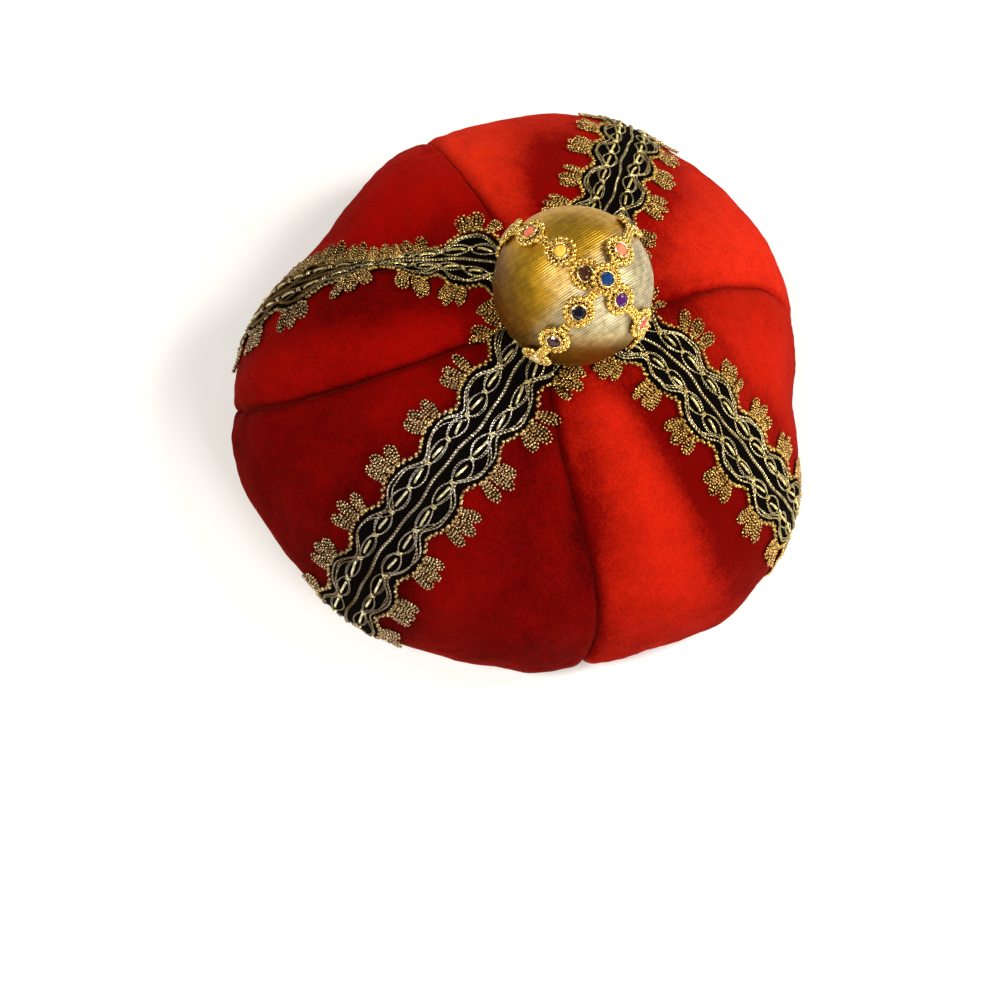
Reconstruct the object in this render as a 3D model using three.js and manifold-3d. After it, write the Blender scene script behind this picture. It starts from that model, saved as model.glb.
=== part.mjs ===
// A costume crown: a puffed cap of four velvet gores, two gilt braids that cross over it,
// and a cloth-covered ball with two strips of jewelled trim. Millimetres, +Z up.
// The crown rests on z = 0 and its front faces -Y.

import * as THREE from 'three';
import { mergeVertices } from 'three/addons/utils/BufferGeometryUtils.js';
import Module from 'manifold-3d';

const wasm = await Module();
wasm.setup();

// Driving dimensions
const gap = 0.3;                  // clearance between pieces that touch
const capRadius = 123;            // mean reach of the puff
const capHeight = 94;             // top of the velvet over the table
const velvetWall = 2;             // velvet with its backing
const openingRadius = 91;         // head opening, for a head of 57 cm
const middleHole = 4;             // where the four gores meet, under the braids
const seamDip = 3;                // how far a seam draws the velvet in
const foldDepth = 10;             // scale of the folds below
const braidWidth = 28.8;          // woven part of the braid, across the wider places
const braidWaist = 21;            // woven part between two picots
const picotReach = 9.4;           // how far a picot stands out from the woven part
const picotWidth = 12;            // a picot along the braid
const picotPitch = 22.5;          // from one picot to the next
const picotShift = 2.5;           // from the crossing to the middle of the nearest picot
const picotTip = 0.8;             // share of a picot's width that its rounded tip has
const picotTipFall = 0.25;        // share of its reach by which the tip falls off to its sides
const braidThickness = 1.5;
const braidRise = 1.3;            // stitched braid's underside over the velvet
const braidRamp = 20;             // length in which the upper braid comes down from the lower one
const crossingSkew = 1.4;         // the braids don't cross square, so the upper stays up longer
const ballRadius = 29.5;
const ballSeatRadius = 19.5;      // flat place where the ball is fixed to the crossing
// The trim's sizes are in step with the ball that it runs over.
const ringRadius = ballRadius * 0.1966;      // beaded ring of the jewelled trim
const ringThickness = ballRadius * 0.0475;
const ringRim = ballRadius * 0.0508;         // beaded rim, inwards from the ring's edge
const ringBevel = ballRadius * 0.0136;
const ringFloor = 0.45;           // the sunk part between rim and collet, share of ringThickness
const ringHeightOverBall = ballRadius * 0.0254;
const colletWall = ballRadius * 0.0203;
const colletFloorShare = 0.35;    // height of the collet's floor, share of ringThickness
const colletTaper = 0.3;          // how much narrower the collet is at its floor
const linkWidth = ballRadius * 0.061;
const linkThickness = ballRadius * 0.0305;
const linkBite = ballRadius * 0.0305;        // how far a link reaches into each ring
const linkHeight = ballRadius * 0.0051;      // a link's underside over the rings' underside
const stoneRadius = ballRadius * 0.0763;
const stoneHeight = ballRadius * 0.0542;
const stoneGirdle = 0.45;         // height of the girdle, share of stoneHeight
const stoneTable = 0.58;          // radius of the table, share of stoneRadius
const stoneGap = 0.15;            // clearance of a stone in its collet

// How finely the pieces are faceted
const goreColumns = 11;
const goreRows = 17;
const ballSides = 24;
const ringSides = 10;
const stoneSides = 8;
const routeSamples = 400;
const surfaceStep = 5;            // longest step sideways over the velvet
const shortestCell = 1.5;         // along a braid, at its ends
const nearby = 0.5;               // for the direction of a braid at a place

// Profile of the cap from the middle of its top, over the puff and under to the head opening.
// out: share of the reach. up: share of the height. hem: share of the way from the puff's
// edge in to the head opening.
const profileRows = [
  { out: 0.000, up: 0.985, hem: 0.00 },
  { out: 0.200, up: 0.985, hem: 0.00 },
  { out: 0.400, up: 0.935, hem: 0.00 },
  { out: 0.600, up: 0.840, hem: 0.00 },
  { out: 0.780, up: 0.690, hem: 0.00 },
  { out: 0.920, up: 0.500, hem: 0.00 },
  { out: 1.000, up: 0.260, hem: 0.00 },
  { out: 0.985, up: 0.120, hem: 0.00 },
  { out: 1.000, up: 0.030, hem: 0.28 },
  { out: 1.000, up: 0.000, hem: 0.55 },
  { out: 1.000, up: 0.000, hem: 1.00 },
];

// Outline from above: the reach every 20 degrees, counted from +X, as a share of capRadius.
const outlineShares = [
  1.01, 0.95, 1.03, 1.08, 1.10, 1.11, 1.04, 1.00, 0.90,
  0.91, 0.98, 1.02, 1.00, 1.00, 0.97, 0.98, 0.99, 1.03,
];

// Seams, with their azimuth in degrees near the middle, half way out and at the edge.
const seamRows = [
  { name: 'front_right', inner: -75, half: -60, edge: -56.5 },
  { name: 'back_right', inner: 33, half: 43, edge: 36 },
  { name: 'back_left', inner: 142, half: 139, edge: 136 },
  { name: 'front_left', inner: 222, half: 221, edge: 211 },
];
const seamInner = 0.1;            // where those three azimuths hold, along the profile
const seamHalf = 0.3;
const seamEdge = 0.6;

// Folds of the slack velvet: a valley behind the left braid, a ridge in front of it and a
// break in the right gore. azimuth: degrees. along: share of the profile. height: share of
// foldDepth, inward where negative. spread: degrees. spreadAlong: share of the profile.
const foldRows = [
  { name: 'valley behind', azimuth: 166, along: 0.34, height: -1.3, spread: 14, spreadAlong: 0.13 },
  { name: 'ridge in front', azimuth: 200, along: 0.36, height: 0.6, spread: 14, spreadAlong: 0.15 },
  { name: 'right break', azimuth: 26, along: 0.36, height: -0.25, spread: 20, spreadAlong: 0.04 },
];
const topFrom = 0.70;             // seams and folds fade out between these shares of the profile
const topTo = 0.82;
const middleFrom = 0.05;          // and between these, towards the middle of the top
const middleTo = 0.2;

// Braid routes over the cap. azimuth: degrees. along: share of the profile.
const frontToBackRoute = [
  { azimuth: -102, along: 0.735 },
  { azimuth: -103, along: 0.60 },
  { azimuth: -103.5, along: 0.45 },
  { azimuth: -103, along: 0.32 },
  { azimuth: -101, along: 0.17 },
  { azimuth: 110, along: 0.035 },
  { azimuth: 90, along: 0.20 },
  { azimuth: 91.5, along: 0.32 },
  { azimuth: 92, along: 0.46 },
  { azimuth: 93, along: 0.60 },
  { azimuth: 93, along: 0.735 },
];
const sideToSideRoute = [
  { azimuth: 191, along: 0.735 },
  { azimuth: 192, along: 0.60 },
  { azimuth: 190.5, along: 0.45 },
  { azimuth: 185, along: 0.32 },
  { azimuth: 170, along: 0.20 },
  { azimuth: 110, along: 0.035 },
  { azimuth: 7, along: 0.18 },
  { azimuth: -5, along: 0.31 },
  { azimuth: -7, along: 0.45 },
  { azimuth: -4.5, along: 0.60 },
  { azimuth: -3, along: 0.735 },
];

// Rings of the trim on the ball. azimuth and down, the angle from the top, are in degrees.
// lift: share of ringThickness that a ring is raised where one strip crosses the other.
const sideToSideRings = [
  { stone: 'left_clear', azimuth: 166, down: 101, lift: 0, colour: 0xd9c27a },
  { stone: 'left_topaz', azimuth: 170, down: 73, lift: 0, colour: 0xc98a2a },
  { stone: 'left_coral', azimuth: 179, down: 44.5, lift: 0, colour: 0xe0603a },
  { stone: 'top_amber', azimuth: 212, down: 20, lift: 0, colour: 0xe8b93c },
  { stone: 'top_brown', azimuth: 282, down: 19, lift: 0, colour: 0x5a3216 },
  { stone: 'right_purple', azimuth: 329, down: 40.5, lift: 0, colour: 0x7a2aa0 },
  { stone: 'right_red', azimuth: 344, down: 70.5, lift: 0, colour: 0xd8452a },
  { stone: 'right_clear', azimuth: 350, down: 99, lift: 0, colour: 0xd9c27a },
];
const frontToBackRings = [
  { stone: 'back_topaz', azimuth: 75, down: 82, lift: 0, colour: 0xc98a2a },
  { stone: 'back_green', azimuth: 66, down: 53.5, lift: 0, colour: 0x12281c },
  { stone: 'back_coral', azimuth: 25, down: 21, lift: 0.15, colour: 0xe8694a },
  { stone: 'top_blue', azimuth: 317, down: 23.5, lift: 1.5, colour: 0x1f4fa0 },
  { stone: 'front_black', azimuth: 285, down: 44.5, lift: 0, colour: 0x0c0a18 },
  { stone: 'front_garnet', azimuth: 273.5, down: 70.5, lift: 0, colour: 0x3a0610 },
  { stone: 'front_clear', azimuth: 267, down: 99, lift: 0, colour: 0xd9c27a },
];

// Materials
const velvet = new THREE.MeshStandardMaterial({ color: 0xb81208, roughness: 0.85, metalness: 0 });
const giltBraid = new THREE.MeshStandardMaterial({ color: 0x6b5526, roughness: 0.5, metalness: 0.6 });
const giltCloth = new THREE.MeshStandardMaterial({ color: 0xcaa24a, roughness: 0.35, metalness: 0.8 });
const giltMetal = new THREE.MeshStandardMaterial({ color: 0xd2a63c, roughness: 0.3, metalness: 1 });
function stoneMaterial(colour) {
  return new THREE.MeshStandardMaterial({ color: colour, roughness: 0.1, metalness: 0 });
}

// Small mathematics
const radians = THREE.MathUtils.degToRad;
const clamp = THREE.MathUtils.clamp;
const smoothstep = THREE.MathUtils.smoothstep;

function modulo(value, turn) {
  return ((value % turn) + turn) % turn;
}

function turnBetween(a, b) {
  return modulo(a - b + 180, 360) - 180;
}

// A smooth curve through four values, at share f between the second and third
function through(a, b, c, d, f) {
  const slope = c - a;
  const bend = 2 * a - 5 * b + 4 * c - d;
  const twist = 3 * b - a - 3 * c + d;
  return (2 * b + slope * f + bend * f ** 2 + twist * f ** 3) / 2;
}

function alongRows(rows, share, column) {
  const last = rows.length - 1;
  const place = clamp(share, 0, 1) * last;
  const i = Math.min(Math.floor(place), last - 1);
  const value = (k) => rows[clamp(k, 0, last)][column];
  return through(value(i - 1), value(i), value(i + 1), value(i + 2), place - i);
}

// The cap's outer surface
function reach(azimuth) {
  const count = outlineShares.length;
  const place = modulo(azimuth, 360) / (360 / count);
  const i = Math.floor(place);
  const value = (k) => outlineShares[modulo(k, count)];
  return through(value(i - 1), value(i), value(i + 1), value(i + 2), place - i);
}

function profileAt(azimuth, along) {
  const out = clamp(alongRows(profileRows, along, 'out'), 0, 1);
  const up = Math.max(alongRows(profileRows, along, 'up'), 0);
  const hem = alongRows(profileRows, along, 'hem');
  const puff = capRadius * out * (1 + (reach(azimuth) - 1) * out);
  return new THREE.Vector2(THREE.MathUtils.lerp(puff, openingRadius, hem), capHeight * up);
}

function seamAzimuth(seam, along) {
  const t = clamp(along, seamInner, seamEdge);
  const inner = (t - seamHalf) * (t - seamEdge) / ((seamInner - seamHalf) * (seamInner - seamEdge));
  const half = (t - seamInner) * (t - seamEdge) / ((seamHalf - seamInner) * (seamHalf - seamEdge));
  const edge = (t - seamInner) * (t - seamHalf) / ((seamEdge - seamInner) * (seamEdge - seamHalf));
  return seam.inner * inner + seam.half * half + seam.edge * edge;
}

// Share of the way across its gore
function acrossGore(azimuth, along) {
  for (let k = 0; k < seamRows.length; k++) {
    const start = seamAzimuth(seamRows[k], along);
    const end = seamAzimuth(seamRows[(k + 1) % seamRows.length], along);
    const width = modulo(end - start, 360);
    const place = modulo(azimuth - start, 360);
    if (place <= width) return place / width;
  }
  return 0;
}

function bell(distance, spread) {
  return Math.exp(-((distance / spread) ** 2));
}

// How far the velvet stands out from its plain profile
function puffHeight(azimuth, along) {
  const slack = (1 - smoothstep(along, topFrom, topTo)) * smoothstep(along, middleFrom, middleTo);
  let height = -seamDip * Math.abs(2 * acrossGore(azimuth, along) - 1) ** 8;
  for (const fold of foldRows) {
    const beside = bell(turnBetween(azimuth, fold.azimuth), fold.spread);
    height += foldDepth * fold.height * beside * bell(along - fold.along, fold.spreadAlong);
  }
  return height * slack;
}

const step = 1e-3;
function capPoint(azimuth, along) {
  const here = profileAt(azimuth, along);
  const ahead = profileAt(azimuth, Math.min(along + step, 1));
  const slope = ahead.sub(profileAt(azimuth, along - step)).normalize();
  here.add(new THREE.Vector2(-slope.y, slope.x).multiplyScalar(puffHeight(azimuth, along)));
  const a = radians(azimuth);
  return new THREE.Vector3(here.x * Math.cos(a), here.x * Math.sin(a), here.y);
}

// The same surface by two plain coordinates that run smoothly over its middle
function mapPoint(u, v) {
  return capPoint(THREE.MathUtils.radToDeg(Math.atan2(v, u)), Math.hypot(u, v));
}

function mapSlopes(u, v) {
  const along = (du, dv) => mapPoint(u + du, v + dv).sub(mapPoint(u - du, v - dv)).divideScalar(2 * step);
  return [along(step, 0), along(0, step)];
}

function mapNormal(u, v) {
  const [du, dv] = mapSlopes(u, v);
  return du.cross(dv).normalize();
}

// A closed body from rings of points, each ring in the same order
function bodyFromRings(rings) {
  const count = rings[0].length;
  const position = rings.flat().flatMap((p) => p.toArray());
  const index = [];
  for (let i = 0; i + 1 < rings.length; i++) {
    for (let j = 0; j < count; j++) {
      const a = i * count + j;
      const b = i * count + ((j + 1) % count);
      index.push(a, b, a + count, b, b + count, a + count);
    }
  }
  const closeEnd = (start, flip) => {
    const half = count / 2;
    for (let j = 0; j + 1 < half; j++) {
      const a = start + j;
      const b = start + j + 1;
      const c = start + count - 1 - j;
      const d = start + count - 2 - j;
      index.push(...(flip ? [a, c, b, b, c, d] : [a, b, c, b, d, c]));
    }
  };
  closeEnd(0, true);
  closeEnd((rings.length - 1) * count, false);
  const body = new THREE.BufferGeometry();
  body.setAttribute('position', new THREE.Float32BufferAttribute(position, 3));
  body.setIndex(index);
  return body;
}

// Velvet gores: each ring goes down the outer face and back up the inner one
function velvetGore(seam, nextSeam) {
  const holeAlong = middleHole / (capRadius * profileRows[1].out * (profileRows.length - 1));
  const rings = [];
  for (let j = 0; j <= goreColumns; j++) {
    const outer = [];
    const inner = [];
    for (let i = 0; i <= goreRows; i++) {
      const along = THREE.MathUtils.lerp(holeAlong, 1, i / goreRows);
      const start = seamAzimuth(seam, along);
      const width = modulo(seamAzimuth(nextSeam, along) - start, 360);
      const azimuth = start + width * j / goreColumns;
      const a = radians(azimuth);
      const point = capPoint(azimuth, along);
      const normal = mapNormal(along * Math.cos(a), along * Math.sin(a));
      const sideways = new THREE.Vector3(-Math.sin(a), Math.cos(a), 0);
      const atSeam = (j === 0 ? 1 : 0) - (j === goreColumns ? 1 : 0);
      if (atSeam !== 0) {
        normal.addScaledVector(sideways, -normal.dot(sideways)).normalize();
        point.addScaledVector(sideways, atSeam * gap / 2);
      }
      outer.push(point);
      inner.unshift(point.clone().addScaledVector(normal, -velvetWall));
    }
    rings.push([...outer, ...inner]);
  }
  return bodyFromRings(rings);
}

// Braids
function routeCurve(route) {
  const places = route.map(({ azimuth, along }) => new THREE.Vector3(
    along * Math.cos(radians(azimuth)), along * Math.sin(radians(azimuth)), 0));
  return new THREE.CatmullRomCurve3(places, false, 'centripetal');
}

// Steps over the surface from a place of the map, sideways by a distance
function stepSideways(place, direction, distance) {
  const parts = Math.max(1, Math.ceil(Math.abs(distance) / surfaceStep));
  const spot = place.clone();
  const heading = direction.clone();
  for (let i = 0; i < parts; i++) {
    const [du, dv] = mapSlopes(spot.x, spot.y);
    const wanted = heading.clone().multiplyScalar(distance / parts);
    const [aa, ab, bb] = [du.dot(du), du.dot(dv), dv.dot(dv)];
    const [wa, wb] = [wanted.dot(du), wanted.dot(dv)];
    const area = aa * bb - ab * ab;
    const move = new THREE.Vector2((wa * bb - wb * ab) / area, (wb * aa - wa * ab) / area);
    const before = mapPoint(spot.x, spot.y);
    spot.x += move.x;
    spot.y += move.y;
    heading.copy(mapPoint(spot.x, spot.y).sub(before).normalize().multiplyScalar(Math.sign(distance)));
  }
  return spot;
}

// Half the braid's width, at a distance along it from the crossing
function braidEdge(fromCrossing) {
  const distance = fromCrossing - picotShift;
  const fromPicot = Math.abs(modulo(distance + picotPitch / 2, picotPitch) - picotPitch / 2);
  const tip = picotTip * picotWidth / 2;
  if (fromPicot < tip + 0.01) {
    return braidWidth / 2 + picotReach * (1 - picotTipFall * fromPicot / tip);
  }
  const toWaist = clamp((fromPicot - picotWidth / 2) / (picotPitch / 2 - picotWidth / 2), 0, 1);
  return THREE.MathUtils.lerp(braidWidth, braidWaist, toWaist) / 2;
}

// Distances along the braid that its scalloped edge needs, counted from the crossing
function braidStations(from, to) {
  const tip = picotTip * picotWidth / 2;
  const foot = picotWidth / 2;
  const inPicot = [0, tip, foot, picotPitch / 2, picotPitch - foot, picotPitch - tip];
  const stations = [from];
  for (let k = Math.floor(from / picotPitch) - 1; k * picotPitch < to; k++) {
    const places = inPicot.map((s) => k * picotPitch + picotShift + s);
    stations.push(...places.filter((s) => s > from + shortestCell && s < to - shortestCell));
  }
  stations.push(to);
  return stations;
}

const braidColumnShares = [-1, -0.6, -0.2, 0.2, 0.6, 1];

// over: true for the braid that lies on the other where they cross
function braid(route, over) {
  const curve = routeCurve(route);
  const samples = curve.getPoints(routeSamples);
  const lengths = [0];
  for (let i = 1; i < samples.length; i++) {
    const [a, b] = [samples[i - 1], samples[i]];
    lengths.push(lengths[i - 1] + mapPoint(a.x, a.y).distanceTo(mapPoint(b.x, b.y)));
  }
  const nearest = (best, place, i) => (place.length() < samples[best].length() ? i : best);
  const crossing = lengths[samples.reduce(nearest, 0)];
  const placeAt = (distance) => {
    let i = lengths.findIndex((length) => length >= distance + crossing);
    if (i < 1) i = distance + crossing <= 0 ? 1 : samples.length - 1;
    const share = (distance + crossing - lengths[i - 1]) / (lengths[i] - lengths[i - 1]);
    return samples[i - 1].clone().lerp(samples[i], share);
  };
  const total = lengths[lengths.length - 1];
  const overReach = crossingSkew * (braidWidth / 2 + picotReach);
  const rings = braidStations(-crossing, total - crossing).map((distance) => {
    const place = placeAt(distance);
    const ahead = placeAt(distance + nearby);
    const behind = placeAt(distance - nearby);
    const forward = mapPoint(ahead.x, ahead.y).sub(mapPoint(behind.x, behind.y)).normalize();
    const sideways = mapNormal(place.x, place.y).cross(forward);
    const lifted = over ? 1 - smoothstep(Math.abs(distance), overReach, overReach + braidRamp) : 0;
    const low = braidRise + lifted * (braidThickness + gap);
    const edge = braidEdge(distance);
    const lower = [];
    const upper = [];
    for (const share of braidColumnShares) {
      const spot = stepSideways(place, sideways, share * edge);
      const normal = mapNormal(spot.x, spot.y);
      const point = mapPoint(spot.x, spot.y);
      lower.push(point.clone().addScaledVector(normal, low));
      upper.unshift(point.clone().addScaledVector(normal, low + braidThickness));
    }
    return [...lower, ...upper];
  });
  return bodyFromRings(rings);
}

const lowerBraid = braid(sideToSideRoute, false);
const upperBraid = braid(frontToBackRoute, true);

// Ball, with a flat seat over the crossing
upperBraid.computeBoundingBox();
const seatHeight = upperBraid.boundingBox.max.z + gap;
const seatDown = Math.sqrt(ballRadius ** 2 - ballSeatRadius ** 2);
const ballCentre = new THREE.Vector3(0, 0, seatHeight + seatDown);

function ball() {
  const seatAngle = Math.PI - Math.asin(ballSeatRadius / ballRadius);
  const rows = Math.round(ballSides / 2 * seatAngle / Math.PI);
  const profile = [new THREE.Vector2(0, -seatDown)];
  for (let i = 0; i < rows; i++) {
    const down = seatAngle * (1 - i / rows);
    profile.push(new THREE.Vector2(ballRadius * Math.sin(down), ballRadius * Math.cos(down)));
  }
  profile.push(new THREE.Vector2(0, ballRadius));
  return new THREE.LatheGeometry(profile, ballSides).rotateX(Math.PI / 2);
}

// Jewelled trim
function ballDirection({ azimuth, down }) {
  const [a, d] = [radians(azimuth), radians(down)];
  return new THREE.Vector3(Math.sin(d) * Math.cos(a), Math.sin(d) * Math.sin(a), Math.cos(d));
}

// The frame of a ring: its middle on the ball, its z outward
function ringFrame(ring) {
  const out = ballDirection(ring);
  const height = ballRadius + ringHeightOverBall + ring.lift * ringThickness;
  const turn = new THREE.Quaternion().setFromUnitVectors(new THREE.Vector3(0, 0, 1), out);
  return new THREE.Matrix4().compose(out.clone().multiplyScalar(height), turn, new THREE.Vector3(1, 1, 1));
}

// A beaded ring with its collet, standing on z = 0
const colletFloor = colletFloorShare * ringThickness;
function ringGeometry() {
  const colletInner = stoneRadius + stoneGap;
  const colletOuter = colletInner + colletWall;
  const profile = [
    [0, 0],
    [ringRadius, 0],
    [ringRadius - ringBevel, ringThickness],
    [ringRadius - ringRim, ringFloor * ringThickness],
    [colletOuter, ringThickness],
    [colletInner, ringThickness],
    [colletInner - colletTaper, colletFloor],
    [0, colletFloor],
  ].map(([x, y]) => new THREE.Vector2(x, y));
  return new THREE.LatheGeometry(profile, ringSides).rotateX(Math.PI / 2);
}

function linkGeometry(a, b) {
  const middleHeight = linkThickness / 2 + linkHeight;
  const ends = [a, b].map((ring) => new THREE.Vector3(0, 0, middleHeight).applyMatrix4(ringFrame(ring)));
  const length = ends[0].distanceTo(ends[1]) - 2 * (ringRadius - linkBite);
  const middle = ends[0].clone().add(ends[1]).divideScalar(2);
  const outward = middle.clone().normalize();
  middle.copy(outward).multiplyScalar((ends[0].length() + ends[1].length()) / 2);
  const forward = ends[1].clone().sub(ends[0]).normalize();
  const side = outward.clone().cross(forward).normalize();
  const up = forward.clone().cross(side);
  const turn = new THREE.Matrix4().makeBasis(forward, side, up).setPosition(middle);
  return new THREE.BoxGeometry(length, linkWidth, linkThickness).applyMatrix4(turn);
}

function solidFrom(geometry) {
  const bare = geometry.clone();
  bare.deleteAttribute('normal');
  bare.deleteAttribute('uv');
  const merged = mergeVertices(bare, 1e-4);
  const mesh = new wasm.Mesh({
    numProp: 3,
    vertProperties: new Float32Array(merged.attributes.position.array),
    triVerts: new Uint32Array(merged.index.array),
  });
  return new wasm.Manifold(mesh);
}

function geometryFrom(solid) {
  const mesh = solid.getMesh();
  const geometry = new THREE.BufferGeometry();
  geometry.setAttribute('position', new THREE.BufferAttribute(new Float32Array(mesh.vertProperties), 3));
  geometry.setIndex(new THREE.BufferAttribute(new Uint32Array(mesh.triVerts), 1));
  return geometry;
}

function jewelTrim(rings) {
  let strip = null;
  rings.forEach((ring, i) => {
    const piece = solidFrom(ringGeometry().applyMatrix4(ringFrame(ring)));
    strip = strip ? strip.add(piece) : piece;
    if (i > 0) strip = strip.add(solidFrom(linkGeometry(rings[i - 1], ring)));
  });
  return geometryFrom(strip);
}

// A cut stone: a pointed back, a girdle, eight crown facets and a flat table
function stoneGeometry(ring) {
  const profile = [
    [0, 0],
    [stoneRadius, stoneGirdle * stoneHeight],
    [stoneTable * stoneRadius, stoneHeight],
    [0, stoneHeight],
  ].map(([x, y]) => new THREE.Vector2(x, y));
  const seat = new THREE.Matrix4().makeTranslation(0, 0, colletFloor + gap);
  return new THREE.LatheGeometry(profile, stoneSides).rotateX(Math.PI / 2)
    .applyMatrix4(seat).applyMatrix4(ringFrame(ring));
}

// Assembly
function named(name, geometry, material) {
  const mesh = new THREE.Mesh(geometry, material);
  mesh.name = name;
  return mesh;
}

const crown = new THREE.Group();
const goreNames = ['velvet_gore_right', 'velvet_gore_back', 'velvet_gore_left', 'velvet_gore_front'];
seamRows.forEach((seam, k) => {
  const nextSeam = seamRows[(k + 1) % seamRows.length];
  crown.add(named(goreNames[k], velvetGore(seam, nextSeam), velvet));
});
crown.add(named('braid_side_to_side', lowerBraid, giltBraid));
crown.add(named('braid_front_to_back', upperBraid, giltBraid));

const topPiece = new THREE.Group();
topPiece.position.copy(ballCentre);
topPiece.add(named('ball', ball(), giltCloth));
topPiece.add(named('jewel_trim_side_to_side', jewelTrim(sideToSideRings), giltMetal));
topPiece.add(named('jewel_trim_front_to_back', jewelTrim(frontToBackRings), giltMetal));
for (const ring of [...sideToSideRings, ...frontToBackRings]) {
  topPiece.add(named(`stone_${ring.stone}`, stoneGeometry(ring), stoneMaterial(ring.colour)));
}
crown.add(topPiece);

// The origin is below the middle of the whole crown, on the surface that it rests on
const box = new THREE.Box3().setFromObject(crown, true);
const middle = box.getCenter(new THREE.Vector3());
crown.position.set(-middle.x, -middle.y, -box.min.z);

export default crown;
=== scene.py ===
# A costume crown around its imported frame: a puffed velvet cap in four gores, two gilt braids
# that cross over it, and a cloth-covered ball with two strips of jewelled trim.
# Metres, +Z up; the crown rests on z = 0 and its front faces -Y.

import math

import bpy
import numpy as np
from mathutils import Matrix, Vector


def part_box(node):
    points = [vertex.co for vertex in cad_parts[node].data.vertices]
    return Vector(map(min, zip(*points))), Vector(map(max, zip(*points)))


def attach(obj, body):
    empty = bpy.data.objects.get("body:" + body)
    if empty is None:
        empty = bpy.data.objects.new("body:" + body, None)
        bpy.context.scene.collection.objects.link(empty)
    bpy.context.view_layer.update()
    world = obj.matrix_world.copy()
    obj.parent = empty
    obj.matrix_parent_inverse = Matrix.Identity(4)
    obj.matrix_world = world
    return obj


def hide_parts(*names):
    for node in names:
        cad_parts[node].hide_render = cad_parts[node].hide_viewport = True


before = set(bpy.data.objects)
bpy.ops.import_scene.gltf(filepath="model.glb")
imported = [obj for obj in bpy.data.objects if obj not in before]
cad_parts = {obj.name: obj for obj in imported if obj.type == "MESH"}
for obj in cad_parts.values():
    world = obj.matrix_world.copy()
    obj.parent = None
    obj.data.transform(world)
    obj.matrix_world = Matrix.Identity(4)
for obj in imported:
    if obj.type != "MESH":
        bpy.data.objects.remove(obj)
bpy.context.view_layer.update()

# Places taken from the frame
ball_low, ball_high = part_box("ball")
BALL_RADIUS = (ball_high.x - ball_low.x) / 2
AXIS_X = (ball_high.x + ball_low.x) / 2
AXIS_Y = (ball_high.y + ball_low.y) / 2
BALL_CENTRE = np.array([AXIS_X, AXIS_Y, ball_high.z - BALL_RADIUS])
SEAT_Z = ball_low.z

# Cap, in the same sizes as its solids
CAP_RADIUS = 0.123
CAP_HEIGHT = 0.094
OPENING_RADIUS = 0.091
VELVET_WALL = 0.002
PILE = 0.0006                  # how far the pile stands over the solid's face
SEAM_DIP = 0.003
FOLD_DEPTH = 0.010
MIDDLE_HOLE = 0.016            # share of the profile where the gores meet, under the braids

# Profile rows: share of the reach, share of the height, share of the way in to the opening
PROFILE = np.array([
    (0.000, 0.985, 0.00),
    (0.200, 0.985, 0.00),
    (0.400, 0.935, 0.00),
    (0.600, 0.840, 0.00),
    (0.780, 0.690, 0.00),
    (0.920, 0.500, 0.00),
    (1.000, 0.260, 0.00),
    (0.985, 0.120, 0.00),
    (1.000, 0.030, 0.28),
    (1.000, 0.000, 0.55),
    (1.000, 0.000, 1.00),
])

# Reach every 20 degrees from +X, as a share of CAP_RADIUS
OUTLINE = np.array([
    1.01, 0.95, 1.03, 1.08, 1.10, 1.11, 1.04, 1.00, 0.90,
    0.91, 0.98, 1.02, 1.00, 1.00, 0.97, 0.98, 0.99, 1.03,
])

# Seams: azimuth near the middle, half way out and at the edge, and where those hold
SEAMS = np.array([
    (-75.0, -60.0, -56.5),
    (33.0, 43.0, 36.0),
    (142.0, 139.0, 136.0),
    (222.0, 221.0, 211.0),
])
SEAM_PLACES = (0.1, 0.3, 0.6)

# Folds: azimuth, share of the profile, height as a share of FOLD_DEPTH, spread, spread along
FOLDS = (
    (166, 0.34, -1.3, 14, 0.13),
    (200, 0.36, 0.6, 14, 0.15),
    (26, 0.36, -0.25, 20, 0.04),
)

# Shares of the profile between which dips and folds die out below, and begin near the middle
LOWER_FROM = 0.70
LOWER_TO = 0.82
MIDDLE_FROM = 0.05
MIDDLE_TO = 0.2

# Braid, across and along
BRAID_HALF = 0.0144            # woven part where a picot stands
WAIST_HALF = 0.0105            # woven part between two picots
PICOT_REACH = 0.0102
PICOT_WIDTH = 0.0130
PICOT_PITCH = 0.0225
PICOT_SHIFT = 0.0025
OVAL_PITCH = PICOT_PITCH / 2
CHAIN_LINE = 0.0056            # middle line of each chain of ovals, from the braid's middle
BRAID_LOW = 0.0008             # underside of the ground over the solid's velvet face
GROUND_TOP = 0.0017
CROSSING_LIFT = 0.0018
CROSSING_REACH = 0.0333
CROSSING_RAMP = 0.020

# Braid routes: azimuth and share of the profile
FRONT_TO_BACK = (
    (-102, 0.735), (-103, 0.60), (-103.5, 0.45), (-103, 0.32), (-101, 0.17), (110, 0.035),
    (90, 0.20), (91.5, 0.32), (92, 0.46), (93, 0.60), (93, 0.735),
)
SIDE_TO_SIDE = (
    (191, 0.735), (192, 0.60), (190.5, 0.45), (185, 0.32), (170, 0.20), (110, 0.035),
    (7, 0.18), (-5, 0.31), (-7, 0.45), (-4.5, 0.60), (-3, 0.735),
)

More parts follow.
